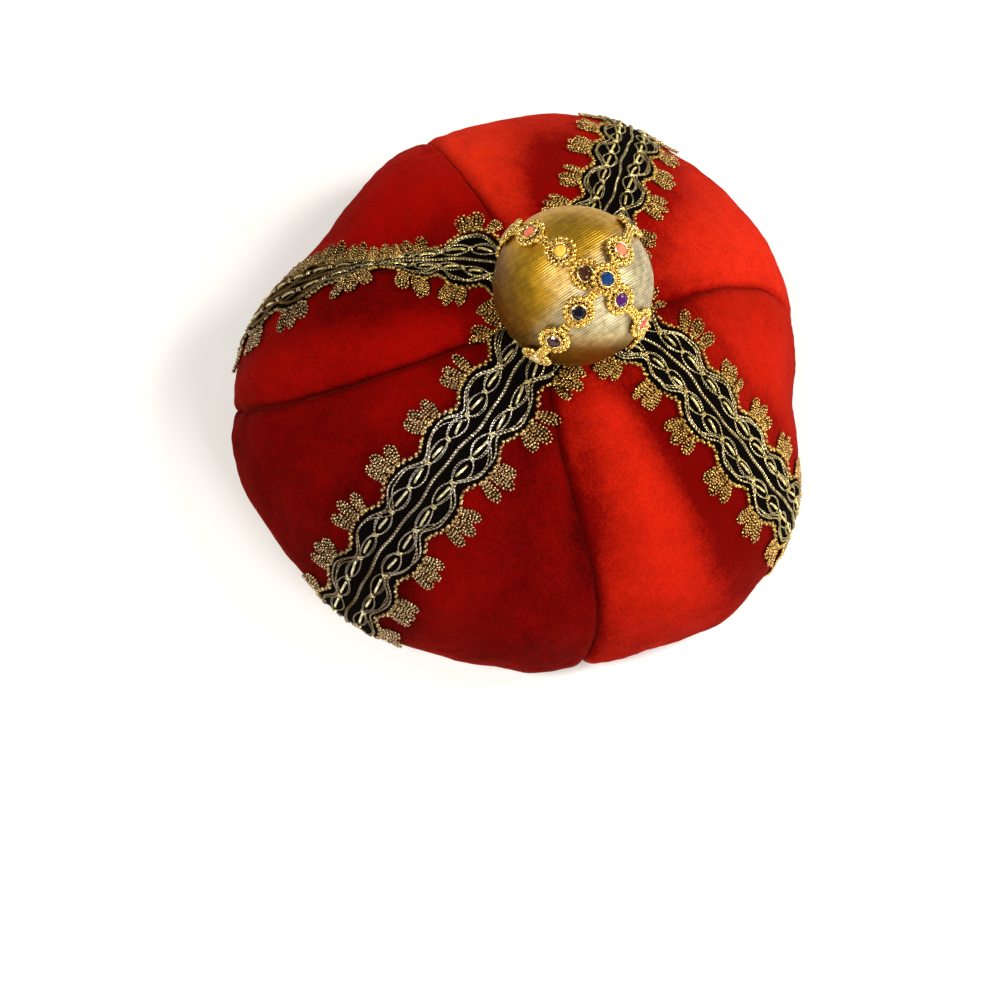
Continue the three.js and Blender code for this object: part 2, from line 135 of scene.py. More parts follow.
# Soft folds of the velvet and spots of painted light and shade on it: azimuth, share of the
# profile, spread in degrees, spread along, height in millimetres, and how much lighter it is painted
SOFT_FOLDS_AND_PAINTED_SHADE = (
    (-92, 0.38, 7, 0.16, 1.0, 0.25),
    (-98, 0.50, 6, 0.10, 0.0, -0.35),
    (-76, 0.36, 7, 0.14, -1.4, -0.15),
    (-66, 0.47, 6, 0.12, 0.8, -0.12),
    (-57, 0.31, 6, 0.11, -0.8, -0.40),
    (-38, 0.32, 8, 0.18, 1.6, 0.28),
    (-19, 0.38, 8, 0.18, -1.4, -1.25),
    (-130, 0.35, 13, 0.15, -0.8, -0.10),
    (-154, 0.42, 13, 0.13, 0.8, 0.18),
    (-150, 0.20, 16, 0.08, 0.0, 0.40),
    (-126, 0.24, 10, 0.09, 0.0, 0.45),
    (150, 0.40, 13, 0.16, 0.8, 0.70),
    (172, 0.42, 9, 0.10, 0.0, 0.15),
    (-160, 0.26, 9, 0.12, 0.0, -0.25),
    (128, 0.40, 12, 0.14, 0.0, 0.30),
    (113, 0.26, 10, 0.13, -0.8, -0.80),
    (78, 0.28, 9, 0.14, -0.6, -0.30),
    (54, 0.44, 16, 0.14, 0.6, 0.20),
    (42, 0.17, 12, 0.08, 0.0, -0.25),
    (24, 0.40, 10, 0.10, 0.0, 0.25),
)

# The left arm of the lower braid is drawn together in the valley
PINCH_PLACE = -0.0790          # distance from the crossing
PINCH_IN = 0.014               # reach on the crossing's side
PINCH_OUT = 0.019              # reach on the hem's side
PINCH_WIDTH = 0.28             # share of the width that is left
PINCH_FLARE = 0.1              # how much further its picots reach there, as a share
PINCH_RISE = 0.0014
PINCH_THINNING = 0.62          # share of its thickness that a thread loses there

# Camera, from the photograph
CAMERA_ELEVATION = math.radians(65.4)
CAMERA_ROLL = math.radians(24.1)
CAMERA_DISTANCE = 0.6
CAMERA_AIM_HEIGHT = 0.024
CAMERA_LENS = 50.51
CAMERA_SHIFT = (-0.0284, -0.1143)


# Small mathematics

def smooth(value, start, end):
    """0 before start and 1 after end, with a soft step between"""
    share = np.clip((value - start) / (end - start), 0, 1)
    return share * share * (3 - 2 * share)


def unit(vectors):
    return vectors / np.maximum(np.linalg.norm(vectors, axis=-1, keepdims=True), 1e-12)


def through(a, b, c, d, f):
    """A smooth curve through four values, at f of the way from b to c"""
    return (2 * b + (c - a) * f + (2 * a - 5 * b + 4 * c - d) * f**2
            + (3 * b - a - 3 * c + d) * f**3) / 2


def along_rows(rows, share):
    """The smooth curve through evenly spaced rows, at a share of the way along them"""
    last = len(rows) - 1
    place = np.clip(share, 0, 1) * last
    i = np.minimum(place.astype(int), last - 1)
    f = (place - i)[..., None]
    before, after = rows[np.maximum(i - 1, 0)], rows[np.minimum(i + 2, last)]
    return through(before, rows[i], rows[i + 1], after, f)


def turn_between(a, b):
    """Degrees from b to a, the short way round"""
    return (a - b + 180) % 360 - 180


# Columns of that table: fold height, and painted light and shade
SPOT_FOLD_HEIGHT = 4             # columns of SOFT_FOLDS_AND_PAINTED_SHADE
SPOT_PAINTED_SHADE = 5


def fold_and_shade_spots(azimuth, along, column):
    """Sum of the folds and painted shade spots in one of their columns"""
    total = np.zeros(along.shape)
    for row in SOFT_FOLDS_AND_PAINTED_SHADE:
        beside = np.exp(-((turn_between(azimuth, row[0]) / row[2]) ** 2))
        total += row[column] * beside * np.exp(-(((along - row[1]) / row[3]) ** 2))
    return total


def soft_noise(points, size, seed, waves=14):
    """A smooth random height between about -1 and 1, with bumps of that size"""
    chance = np.random.default_rng(seed)
    total = np.zeros(points.shape[:-1])
    for direction in unit(chance.normal(size=(waves, 3))):
        total += np.sin(points @ direction * (2 * math.pi / size * chance.uniform(0.7, 1.3))
                        + chance.uniform(0, 2 * math.pi))
    return total / math.sqrt(waves)


# The cap's outer face, as its solids have it

def reach(azimuth):
    """Reach of the cap toward an azimuth, as a share of CAP_RADIUS"""
    count = len(OUTLINE)
    place = (azimuth % 360) / (360 / count)
    i = np.minimum(place.astype(int), count - 1)
    value = [OUTLINE[(i + k) % count] for k in (-1, 0, 1, 2)]
    return through(*value, place - i)


def profile_at(azimuth, along):
    """Distance from the axis and height of the cap, before its dips and folds"""
    out, up, hem = np.moveaxis(along_rows(PROFILE, along), -1, 0)
    out = np.maximum(out, 0)
    puff = CAP_RADIUS * out * (1 + (reach(azimuth) - 1) * out)
    return puff * (1 - hem) + OPENING_RADIUS * hem, CAP_HEIGHT * np.maximum(up, 0)


def seam_azimuth(k, along):
    """The parabola through a seam's three azimuths"""
    t = np.clip(along, SEAM_PLACES[0], SEAM_PLACES[-1])
    azimuth = 0
    for at, value in zip(SEAM_PLACES, SEAMS[k]):
        a, b = (place for place in SEAM_PLACES if place != at)
        azimuth = azimuth + value * ((t - a) * (t - b) / ((at - a) * (at - b)))
    return azimuth


def across_gore(azimuth, along):
    """Share of the way across a gore, from its first seam to its second"""
    share = np.zeros(azimuth.shape)
    for k in range(len(SEAMS)):
        start = seam_azimuth(k, along)
        width = (seam_azimuth((k + 1) % len(SEAMS), along) - start) % 360
        place = (azimuth - start) % 360
        share = np.where(place <= width, place / width, share)
    return share


def puff_height(azimuth, along):
    """Dips at the seams and soft folds, as heights over the profile"""
    slack = (1 - smooth(along, LOWER_FROM, LOWER_TO)) * smooth(along, MIDDLE_FROM, MIDDLE_TO)
    height = -SEAM_DIP * np.abs(2 * across_gore(azimuth, along) - 1) ** 8
    for fold_azimuth, fold_along, share, spread, spread_along in FOLDS:
        beside = np.exp(-((turn_between(azimuth, fold_azimuth) / spread) ** 2))
        height += FOLD_DEPTH * share * beside * np.exp(-(((along - fold_along) / spread_along) ** 2))
    return height * slack


STEP = 1e-3


def cap_point(azimuth, along):
    """A point of the outer face"""
    out, up = profile_at(azimuth, along)
    out_ahead, up_ahead = profile_at(azimuth, np.minimum(along + STEP, 1))
    out_behind, up_behind = profile_at(azimuth, along - STEP)
    slope = unit(np.stack([out_ahead - out_behind, up_ahead - up_behind], -1))
    height = puff_height(azimuth, along)
    out = out - slope[..., 1] * height
    up = up + slope[..., 0] * height
    a = np.radians(azimuth)
    return np.stack([AXIS_X + out * np.cos(a), AXIS_Y + out * np.sin(a), up], -1)


def map_point(place):
    """The same, for a place on a flat map whose middle is the top of the cap"""
    azimuth = np.degrees(np.arctan2(place[..., 1], place[..., 0]))
    return cap_point(azimuth, np.hypot(place[..., 0], place[..., 1]))


def map_slopes(place):
    """How the point moves with each of the map's two coordinates"""
    steps = np.array([[STEP, 0.0], [0.0, STEP]])
    return [(map_point(place + s) - map_point(place - s)) / (2 * STEP) for s in steps]


def map_normal(place):
    du, dv = map_slopes(place)
    return unit(np.cross(du, dv))


def step_over(place, heading, distance):
    """Steps over the cap's face from places of the map, along headings in space"""
    du, dv = map_slopes(place)
    wanted = heading * distance
    aa, ab, bb = (du * du).sum(-1), (du * dv).sum(-1), (dv * dv).sum(-1)
    wa, wb = (wanted * du).sum(-1), (wanted * dv).sum(-1)
    area = aa * bb - ab * ab
    ahead = place + np.stack([(wa * bb - wb * ab) / area, (wb * aa - wa * ab) / area], -1)
    return ahead, unit(map_point(ahead) - map_point(place))


# Making meshes

def mesh_object(name, points, faces, materials, smooth_faces=True, marks=None, inside=None):
    """One mesh from arrays. Its faces have the same number of corners; inside takes material 1"""
    mesh = bpy.data.meshes.new(name)
    mesh.vertices.add(len(points))
    mesh.vertices.foreach_set("co", np.ascontiguousarray(points, np.float32).ravel())
    corners = faces.shape[1]
    mesh.loops.add(faces.size)
    mesh.loops.foreach_set("vertex_index", np.ascontiguousarray(faces, np.int32).ravel())
    mesh.polygons.add(len(faces))
    mesh.polygons.foreach_set("loop_start", np.arange(len(faces), dtype=np.int32) * corners)
    mesh.polygons.foreach_set("use_smooth", np.full(len(faces), smooth_faces))
    for material in materials:
        mesh.materials.append(material)
    if inside is not None:
        mesh.polygons.foreach_set("material_index", np.ascontiguousarray(inside, np.int32))
    for mark, values in (marks or {}).items():
        layer = mesh.attributes.new(mark, "FLOAT", "POINT")
        layer.data.foreach_set("value", np.ascontiguousarray(values, np.float32).ravel())
    mesh.update(calc_edges=True)
    piece = bpy.data.objects.new(name, mesh)
    bpy.context.scene.collection.objects.link(piece)
    return piece


def wear(piece, slot, *nodes):
    """A piece that rides the root in place of the frame's nodes; its slot is not used"""
    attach(piece, "root")
    if nodes:
        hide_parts(*nodes)
    return piece


def join(parts):
    """Joins (points, faces, marks) of the same kind into one"""
    shift = np.cumsum([0] + [len(points) for points, _, _ in parts])
    points = np.concatenate([p for p, _, _ in parts])
    faces = np.concatenate([f + s for (_, f, _), s in zip(parts, shift)])
    names = parts[0][2].keys()
    return points, faces, {name: np.concatenate([m[name] for _, _, m in parts]) for name in names}


def dress(name, parts, material, slot, *nodes):
    """Joins parts into one piece, for the nodes that it replaces"""
    points, faces, marks = join(parts)
    return wear(mesh_object(name, points, faces, [material], marks=marks), slot, *nodes)


def run_along(path):
    """Length along a path up to each of its points"""
    return np.concatenate([[0], np.cumsum(np.linalg.norm(np.diff(path, axis=0), axis=1))])


def ring_faces(rings, around, closed=False):
    """Quads between rings of points that lie one after the other"""
    i = np.arange(rings if closed else rings - 1)[:, None]
    j = np.arange(around)[None]
    here, ahead = i * around, (i + 1) % rings * around
    turned = (j + 1) % around
    return np.stack([here + j, here + turned, ahead + turned, ahead + j], -1).reshape(-1, 4)


def end_faces(rings, around):
    """Quads that close the first and last ring of a flat band"""
    r = np.arange(around // 2 - 1)
    first = np.stack([r, around - 1 - r, around - 2 - r, r + 1], -1)
    return np.concatenate([first, (rings - 1) * around + first[:, ::-1]])


def tube(path, up, half_width, half_height, sides=6, closed=False):
    """A thread along a path, its section set by the up directions"""
    count = len(path)
    if closed:
        forward = unit(np.roll(path, -1, 0) - np.roll(path, 1, 0))
    else:
        forward = unit(np.gradient(path, axis=0))
    side = unit(np.cross(forward, up))
    up = np.cross(side, forward)
    around = np.linspace(0, 2 * math.pi, sides, endpoint=False)
    width = np.broadcast_to(half_width, count)[:, None, None]
    height = np.broadcast_to(half_height, count)[:, None, None]
    points = (path[:, None] + side[:, None] * np.cos(around)[None, :, None] * width
              + up[:, None] * np.sin(around)[None, :, None] * height)
    faces = ring_faces(count, sides, closed)
    if not closed:
        last = (count - 1) * sides
        caps = [(sides - k, sides - k - 1, k, k - 1) for k in range(1, sides // 2)]
        caps = [tuple(c % sides for c in cap) for cap in caps]
        faces = np.concatenate([faces, caps, last + np.array(caps)[:, ::-1]])
    marks = {
        "run": np.repeat(run_along(path), sides),
        "turn": np.tile(around, count),
    }
    return points.reshape(-1, 3), faces, marks


GOLDEN = (1 + math.sqrt(5)) / 2
BEAD_CORNERS = unit(np.array([
    (-1, GOLDEN, 0), (1, GOLDEN, 0), (-1, -GOLDEN, 0), (1, -GOLDEN, 0),
    (0, -1, GOLDEN), (0, 1, GOLDEN), (0, -1, -GOLDEN), (0, 1, -GOLDEN),
    (GOLDEN, 0, -1), (GOLDEN, 0, 1), (-GOLDEN, 0, -1), (-GOLDEN, 0, 1),
]))
BEAD_FACES = np.array([
    (0, 11, 5), (0, 5, 1), (0, 1, 7), (0, 7, 10), (0, 10, 11), (1, 5, 9), (5, 11, 4), (11, 10, 2),
    (10, 7, 6), (7, 1, 8), (3, 9, 4), (3, 4, 2), (3, 2, 6), (3, 6, 8), (3, 8, 9), (4, 9, 5), (2, 4, 11),
    (6, 2, 10), (8, 6, 7), (9, 8, 1),
])


def finer(corners, faces):
    """Splits each face of a bead in four"""
    points = list(map(tuple, corners))
    middles = {}
    split = []

    def middle(a, b):
        key = (min(a, b), max(a, b))
        if key not in middles:
            middles[key] = len(points)
            points.append(tuple(unit(np.add(points[a], points[b]))))
        return middles[key]

    for a, b, c in faces:
        ab, bc, ca = middle(a, b), middle(b, c), middle(c, a)
        split += [(a, ab, ca), (b, bc, ab), (c, ca, bc), (ab, bc, ca)]
    return np.array(points), np.array(split)


FINE_CORNERS, FINE_FACES = finer(BEAD_CORNERS, BEAD_FACES)


def beads(centres, radii, fine=False):
    """Round beads at the centres"""
    corners, faces = (FINE_CORNERS, FINE_FACES) if fine else (BEAD_CORNERS, BEAD_FACES)
    radii = np.broadcast_to(radii, len(centres))
    points = centres[:, None] + corners[None] * radii[:, None, None]
    all_faces = faces[None] + (np.arange(len(centres)) * len(corners))[:, None, None]
    marks = {"grain": np.repeat(np.random.default_rng(7).uniform(0, 1, len(centres)), len(corners))}
    return points.reshape(-1, 3), all_faces.reshape(-1, 3), marks


def spaced(path, spacing):
    """Places at even spacing along a path"""
    run = run_along(path)
    count = max(2, int(round(run[-1] / spacing)) + 1)
    wanted = np.linspace(0, run[-1], count)
    return np.stack([np.interp(wanted, run, path[:, k]) for k in range(path.shape[1])], -1)


# Braid strips laid over the cap

def centripetal(places, samples):
    """The route's smooth curve, as the solids have it"""
    curve = []
    last = len(places) - 1
    for share in np.linspace(0, last, samples + 1):
        i = min(int(share), last - 1)
        b, c = places[i], places[i + 1]
        a = places[i - 1] if i > 0 else 2 * b - c
        d = places[i + 2] if i + 2 <= last else 2 * c - b
        ab, bc, cd = (math.sqrt(math.dist(p, q)) for p, q in ((a, b), (b, c), (c, d)))
        start = ((b - a) / ab - (c - a) / (ab + bc) + (c - b) / bc) * bc
        end = ((c - b) / bc - (d - b) / (bc + cd) + (d - c) / cd) * bc
        f = share - i
        curve.append(b + start * f + (3 * (c - b) - 2 * start - end) * f**2
                     + (2 * (b - c) + start + end) * f**3)
    return np.array(curve)


GRID = 0.001                   # step of the grid that a braid's pieces are laid on
STRIP_HALF = 0.027             # how far that grid goes to each side
ROUTE_SAMPLES = 400
THREAD_INSET = 0.001           # threads stop this far inside the ground's ends
REPEAT_INSET = 0.004           # bars and picots keep this far inside them


class Strip:
    """The cap's face around a braid's route, by distance from the crossing and distance across"""

    def __init__(self, route, over):
        rows = np.array(route, float)
        azimuth = np.radians(rows[:, 0])
        places = np.stack([rows[:, 1] * np.cos(azimuth), rows[:, 1] * np.sin(azimuth)], -1)
        curve = centripetal(places, ROUTE_SAMPLES)
        line = map_point(curve)
        run = run_along(line)
        run -= run[np.argmin(np.hypot(curve[:, 0], curve[:, 1]))]
        self.over = over
        self.start, self.end = run[0], run[-1]
        self.line = line
        distances = np.arange(self.start, self.end + GRID, GRID)
        middle = np.stack([np.interp(distances, run, curve[:, k]) for k in (0, 1)], -1)
        forward = unit(np.gradient(map_point(middle), axis=0))
        sideways = unit(np.cross(map_normal(middle), forward))
        columns = int(round(STRIP_HALF / GRID))
        sides = []
        for sign in (-1, 1):
            place, heading, column = middle, sideways * sign, [middle]
            for _ in range(columns):
                place, heading = step_over(place, heading, GRID)
                column.append(place)
            sides.append(column)
        grid = np.stack(sides[0][:0:-1] + sides[1], 1)
        self.points = map_point(grid)
        self.normals = map_normal(grid)

    def lay(self, distance, across, height):
        """Points at a height over the solid's velvet face"""
        distance, across, height = np.broadcast_arrays(distance, across, height)
        if not self.over:
            drawn = self.drawn(distance)
            woven = np.minimum(np.abs(across), BRAID_HALF)
            outside = (np.abs(across) - woven) * (1 + PINCH_FLARE * drawn)
            across = np.sign(across) * (woven * (1 - (1 - PINCH_WIDTH) * drawn) + outside)
            height = height + PINCH_RISE * drawn
        u = np.clip((distance - self.start) / GRID, 0, len(self.points) - 1.001)
        v = np.clip((across + STRIP_HALF) / GRID, 0, self.points.shape[1] - 1.001)
        i, j = u.astype(int), v.astype(int)
        fu, fv = (u - i)[..., None], (v - j)[..., None]

        def mixed(grid):
            return ((grid[i, j] * (1 - fv) + grid[i, j + 1] * fv) * (1 - fu)
                    + (grid[i + 1, j] * (1 - fv) + grid[i + 1, j + 1] * fv) * fu)

        up = unit(mixed(self.normals))
        lift = 0
        if self.over:
            away = smooth(np.abs(distance), CROSSING_REACH, CROSSING_REACH + CROSSING_RAMP)
            lift = CROSSING_LIFT * (1 - away)
        return mixed(self.points) + up * (height + lift)[..., None], up

    def run_in_steps(self, step):
        """Distances from end to end, for threads that stop just inside the ground"""
        return np.arange(self.start + THREAD_INSET, self.end - THREAD_INSET, step)

    def repeats(self, pitch):
        """First and last repeat of a pattern that fits between the ends"""
        first = math.ceil((self.start + REPEAT_INSET - PICOT_SHIFT) / pitch)
        return first, math.floor((self.end - REPEAT_INSET - PICOT_SHIFT) / pitch)

    def drawn(self, distance):
        """How far the lower braid is drawn together, from 0 to 1"""
        away = distance - PINCH_PLACE
        return np.exp(-((away / np.where(away > 0, PINCH_IN, PINCH_OUT)) ** 2))

    def room(self, distance):
        """How much of its thickness a thread keeps where the braid is drawn together"""
        if self.over:
            return np.ones(np.shape(distance))
        return 1 - PINCH_THINNING * self.drawn(distance)


def wave_along(distance, length, lag=0.0):
    """A sine along a braid"""
    return np.sin(2 * math.pi * distance / length + lag)


def braid_half(distance):
    """Half the woven width, waisted between the picots"""
    turn = 2 * math.pi * (distance - PICOT_SHIFT) / PICOT_PITCH
    wave = np.cos(turn - 0.4 * np.sin(turn))
    return (BRAID_HALF + WAIST_HALF) / 2 + (BRAID_HALF - WAIST_HALF) / 2 * wave


# Shader helpers

def put(tree, kind, settings=None, **inputs):
    """A node with its settings, and its inputs linked or set. An underscore is a space"""
    made = tree.nodes.new(kind)
    for key, value in (settings or {}).items():
        setattr(made, key, value)
    for key, value in inputs.items():
        socket = made.inputs[key.replace("_", " ")]
        if isinstance(value, bpy.types.NodeSocket):
            tree.links.new(value, socket)
        else:
            socket.default_value = value
    return made


def reckon(tree, operation, *values, clamped=False):
    """The result of a Math node"""
    made = tree.nodes.new("ShaderNodeMath")
    made.operation = operation
    made.use_clamp = clamped
    for socket, value in zip(made.inputs, values):
        if isinstance(value, bpy.types.NodeSocket):
            tree.links.new(value, socket)
        else:
            socket.default_value = value
    return made.outputs[0]


def blend_colours(tree, share, first, second, kind="MIX"):
    """The first colour at share 0, the second at 1"""
    made = tree.nodes.new("ShaderNodeMix")
    made.data_type = "RGBA"
    made.blend_type = kind
    for index, value in ((0, share), (6, first), (7, second)):
        if isinstance(value, bpy.types.NodeSocket):
            tree.links.new(value, made.inputs[index])
        else:
            made.inputs[index].default_value = (*value, 1) if isinstance(value, tuple) else value
    return made.outputs[2]


def ramp(tree, value, low, high):
    """0 at low, 1 at high"""
    made = put(tree, "ShaderNodeMapRange", {"clamp": True}, Value=value)
    made.inputs["From Min"].default_value = low
    made.inputs["From Max"].default_value = high
    return made.outputs["Result"]


def mark(tree, name):
    """A value that the mesh carries at its points"""
    return put(tree, "ShaderNodeAttribute", {"attribute_name": name}).outputs["Fac"]


def ribs(tree, name, pitch):
    """Ribs at a pitch over such a value, between -1 and 1"""
    return reckon(tree, "SINE", reckon(tree, "MULTIPLY", mark(tree, name), 2 * math.pi / pitch))


def weighed(tree, first, share, second, other_share):
    """Two values added, each times its share"""
    return reckon(tree, "MULTIPLY_ADD", first, share, reckon(tree, "MULTIPLY", second, other_share))


def raised(tree, strength, distance, height):
    """The normal that a height gives"""
    bump = put(tree, "ShaderNodeBump", Strength=strength, Distance=distance, Height=height)
    return bump.outputs["Normal"]


def shader_group(name, inputs, outputs):
    """An empty node group whose inputs, with their defaults, and outputs are all values"""
    tree = bpy.data.node_groups.new(name, "ShaderNodeTree")
    for socket, default in inputs.items():
        made = tree.interface.new_socket(socket, in_out="INPUT", socket_type="NodeSocketFloat")
        made.default_value = default
    for socket in outputs:
        tree.interface.new_socket(socket, in_out="OUTPUT", socket_type="NodeSocketFloat")
    return tree, tree.nodes.new("NodeGroupInput").outputs, tree.nodes.new("NodeGroupOutput").inputs


def use_group(tree, group, **inputs):
    return put(tree, "ShaderNodeGroup", {"node_tree": group}, **inputs).outputs


def new_material(name):
    material = bpy.data.materials.new(name)
    material.use_nodes = True
    tree = material.node_tree
    return material, tree, tree.nodes["Principled BSDF"]


def finish_surface(tree, surface, linked, **fixed):
    """Sets the shader's own sockets and links what changes over the surface"""
    for key, value in fixed.items():
        surface.inputs[key.replace("_", " ")].default_value = value
    for key, value in linked.items():
        tree.links.new(value, surface.inputs[key])


def grain_group():
    """Patches and fine grain that more than one material uses"""
    tree, given, result = shader_group(
        "grain", {"Coarse": 200.0, "Fine": 2000.0}, ("Patches", "Grain"))
    where = put(tree, "ShaderNodeTexCoord").outputs["Object"]
    coarse = put(tree, "ShaderNodeTexNoise", Vector=where, Scale=given["Coarse"], Detail=3.0)
    fine = put(tree, "ShaderNodeTexNoise", Vector=where, Scale=given["Fine"], Detail=2.0)
    tree.links.new(ramp(tree, coarse.outputs["Fac"], 0.35, 0.65), result["Patches"])
    tree.links.new(ramp(tree, fine.outputs["Fac"], 0.3, 0.7), result["Grain"])
    return tree


def twist_group():
    """Twisted plies along a thread, from the marks that its tube carries"""
    tree, given, result = shader_group("twist", {"Lay": 0.0016, "Plies": 2.0}, ("Ply",))
    along = reckon(tree, "DIVIDE", mark(tree, "run"), given["Lay"])
    along = reckon(tree, "MULTIPLY", along, 2 * math.pi)
    around = reckon(tree, "MULTIPLY", mark(tree, "turn"), given["Plies"])
    wave = reckon(tree, "SINE", reckon(tree, "ADD", along, around))
    tree.links.new(ramp(tree, wave, -1.0, 1.0), result["Ply"])
    return tree


# Painted shade on the braids' ends: place, how far it is darkest, how far it is darker at all, and
# how much of the colour the darkest part keeps
SHADED_ENDS = (
    ((AXIS_X - 0.108, AXIS_Y - 0.012, 0.05), 0.025, 0.065, 0.05),
    ((AXIS_X - 0.022, AXIS_Y - 0.118, 0.04), 0.020, 0.080, 0.35),
)
# Colours that gilt thread and beads take in that painted shade
THREAD_SHADE_COLOUR = (0.11, 0.05, 0.008)
BEAD_SHADE_COLOUR = (0.03, 0.014, 0.002)

# The gilt is yellower toward this side, from one distance to the other along it
YELLOW_SIDE = (0.24, 0.97, 0.0)
YELLOW_FROM = -0.065
YELLOW_TO = -0.03
YELLOW_TINT = (1.0, 0.89, 0.48)


def tarnish_and_shade_group():
    """How bright gilt thread is in patches, how far painted shade darkens it toward its ends, and where
    it is yellower
    """
    tree, given, result = shader_group(
        "tarnish_and_shade", {"Scale": 45.0, "Amount": 0.5}, ("Bright", "Unshaded", "Yellow"))
    where = put(tree, "ShaderNodeTexCoord").outputs["Object"]
    patches = put(tree, "ShaderNodeTexNoise", Vector=where, Scale=given["Scale"], Detail=2.0)
    patches = ramp(tree, patches.outputs["Fac"], 0.35, 0.62)
    lost = reckon(tree, "MULTIPLY", given["Amount"], reckon(tree, "SUBTRACT", 1.0, patches))
    tree.links.new(reckon(tree, "SUBTRACT", 1.0, lost), result["Bright"])
    toward = put(tree, "ShaderNodeVectorMath", {"operation": "DOT_PRODUCT"})
    tree.links.new(where, toward.inputs[0])
    toward.inputs[1].default_value = YELLOW_SIDE
    yellow = ramp(tree, toward.outputs["Value"], YELLOW_FROM, YELLOW_TO)
    tree.links.new(yellow, result["Yellow"])
    # Painted shade, darkest at each of the places above
    unshaded = 1.0
    for place, near, far, least in SHADED_ENDS:
        away = put(tree, "ShaderNodeVectorMath", {"operation": "DISTANCE"})
        tree.links.new(where, away.inputs[0])
        away.inputs[1].default_value = place
        beside = ramp(tree, away.outputs["Value"], near, far)
        beside = reckon(tree, "MULTIPLY_ADD", beside, 1 - least, least)
        unshaded = reckon(tree, "MULTIPLY", unshaded, beside)
    tree.links.new(unshaded, result["Unshaded"])
    return tree


GRAIN = grain_group()
TWIST = twist_group()
TARNISH_AND_SHADE = tarnish_and_shade_group()


# Materials

def velvet_material(name, deep, bright):
    """Short silk pile: random patches and fine pile grain, the nap mark's painted light and shade, soft
    sheen
    """
    material, tree, surface = new_material(name)
    grain = use_group(tree, GRAIN, Coarse=170.0, Fine=1500.0)
    crush = use_group(tree, GRAIN, Coarse=75.0, Fine=600.0)
    patches = weighed(tree, grain["Patches"], 0.07, crush["Patches"], 0.11)
    fine = weighed(tree, grain["Grain"], 0.22, crush["Grain"], 0.12)
    # The nap mark is painted light and shade, added to the random patches and grain
    painted_nap_shade = reckon(tree, "ADD", mark(tree, "painted_nap_shade"), -0.365)
    lean = reckon(tree, "ADD", reckon(tree, "ADD", patches, fine), painted_nap_shade, clamped=True)
    colour = blend_colours(tree, lean, deep, bright)
    height = reckon(tree, "ADD", grain["Grain"], reckon(tree, "MULTIPLY", crush["Grain"], 0.8))
    finish_surface(
        tree, surface, {"Base Color": colour, "Normal": raised(tree, 0.35, 0.0004, height)},
        Roughness=0.9, Specular_IOR_Level=0.02, Sheen_Weight=0.22, Sheen_Roughness=0.4,
        Sheen_Tint=(1.0, 0.05, 0.02, 1))
    return material


def backing_material():
    """Plain woven backing on the inner face"""
    material, tree, surface = new_material("velvet_backing")
    grain = use_group(tree, GRAIN, Coarse=400.0, Fine=3000.0)
    colour = blend_colours(tree, grain["Patches"], (0.09, 0.006, 0.005), (0.16, 0.012, 0.01))
    normal = raised(tree, 0.4, 0.0003, grain["Grain"])
    finish_surface(tree, surface, {"Base Color": colour, "Normal": normal},
                   Roughness=0.95, Specular_IOR_Level=0.1)
    return material


def ground_material():
    """Black ribbed ground of the braid: ribs run along it"""
    material, tree, surface = new_material("braid_ground")
    rib = ramp(tree, ribs(tree, "across", 0.0011), -1.0, 1.0)
    grain = use_group(tree, GRAIN, Coarse=900.0, Fine=4000.0)
    thread = reckon(tree, "MULTIPLY", rib, reckon(tree, "MULTIPLY_ADD", grain["Patches"], 0.5, 0.5))
    colour = blend_colours(tree, thread, (0.0006, 0.0004, 0.0003), (0.006, 0.004, 0.003))
    finish_surface(
        tree, surface, {"Base Color": colour, "Normal": raised(tree, 0.9, 0.0003, thread)},
        Roughness=0.9, Specular_IOR_Level=0.02)
    return material


def worn_metal(tree, share, shade, light, tarnish_and_shade, tinted, kept, shade_colour):
    """Colour from shade to light, with its tarnished patches and painted shade, and how unshaded it is,
    from kept to 1
    """
    worn = use_group(tree, TARNISH_AND_SHADE, Scale=55.0, Amount=tarnish_and_shade)
    share = reckon(tree, "MULTIPLY", share, worn["Bright"])
    colour = blend_colours(tree, share, shade, light)
    yellow = reckon(tree, "MULTIPLY", worn["Yellow"], tinted if tarnish_and_shade else 0.0)
    colour = blend_colours(tree, yellow, colour, YELLOW_TINT, "MULTIPLY")
    unshaded = reckon(tree, "MULTIPLY_ADD", worn["Unshaded"], 1 - kept, kept)
    return blend_colours(tree, unshaded, shade_colour, colour), unshaded


def thread_material(name, shade, light, roughness, lay, tarnish_and_shade=0.0, metallic=1.0):
    """Metallic thread wound from plies"""
    material, tree, surface = new_material(name)
    ply = use_group(tree, TWIST, Lay=lay, Plies=2.0)["Ply"]
    grain = use_group(tree, GRAIN, Coarse=350.0, Fine=3000.0)
    share = ramp(tree, weighed(tree, grain["Patches"], 0.5, ply, 0.5), 0.15, 0.8)
    kept = 1 - min(1.0, 2 * tarnish_and_shade)
    colour, unshaded = worn_metal(tree, share, shade, light, tarnish_and_shade, 0.8, kept, THREAD_SHADE_COLOUR)
    rough = reckon(tree, "MULTIPLY_ADD", grain["Grain"], 0.2, roughness)
    rough = reckon(tree, "MULTIPLY_ADD", reckon(tree, "SUBTRACT", 1.0, unshaded), 0.2, rough)
    normal = raised(tree, 0.8, 0.0002, ply)
    finish_surface(
        tree, surface, {"Base Color": colour, "Roughness": rough, "Normal": normal},
        Metallic=metallic,
        Specular_Tint=(0.75, 0.62, 0.4, 1) if tarnish_and_shade > 0.2 else (1, 0.92, 0.7, 1))
    return material


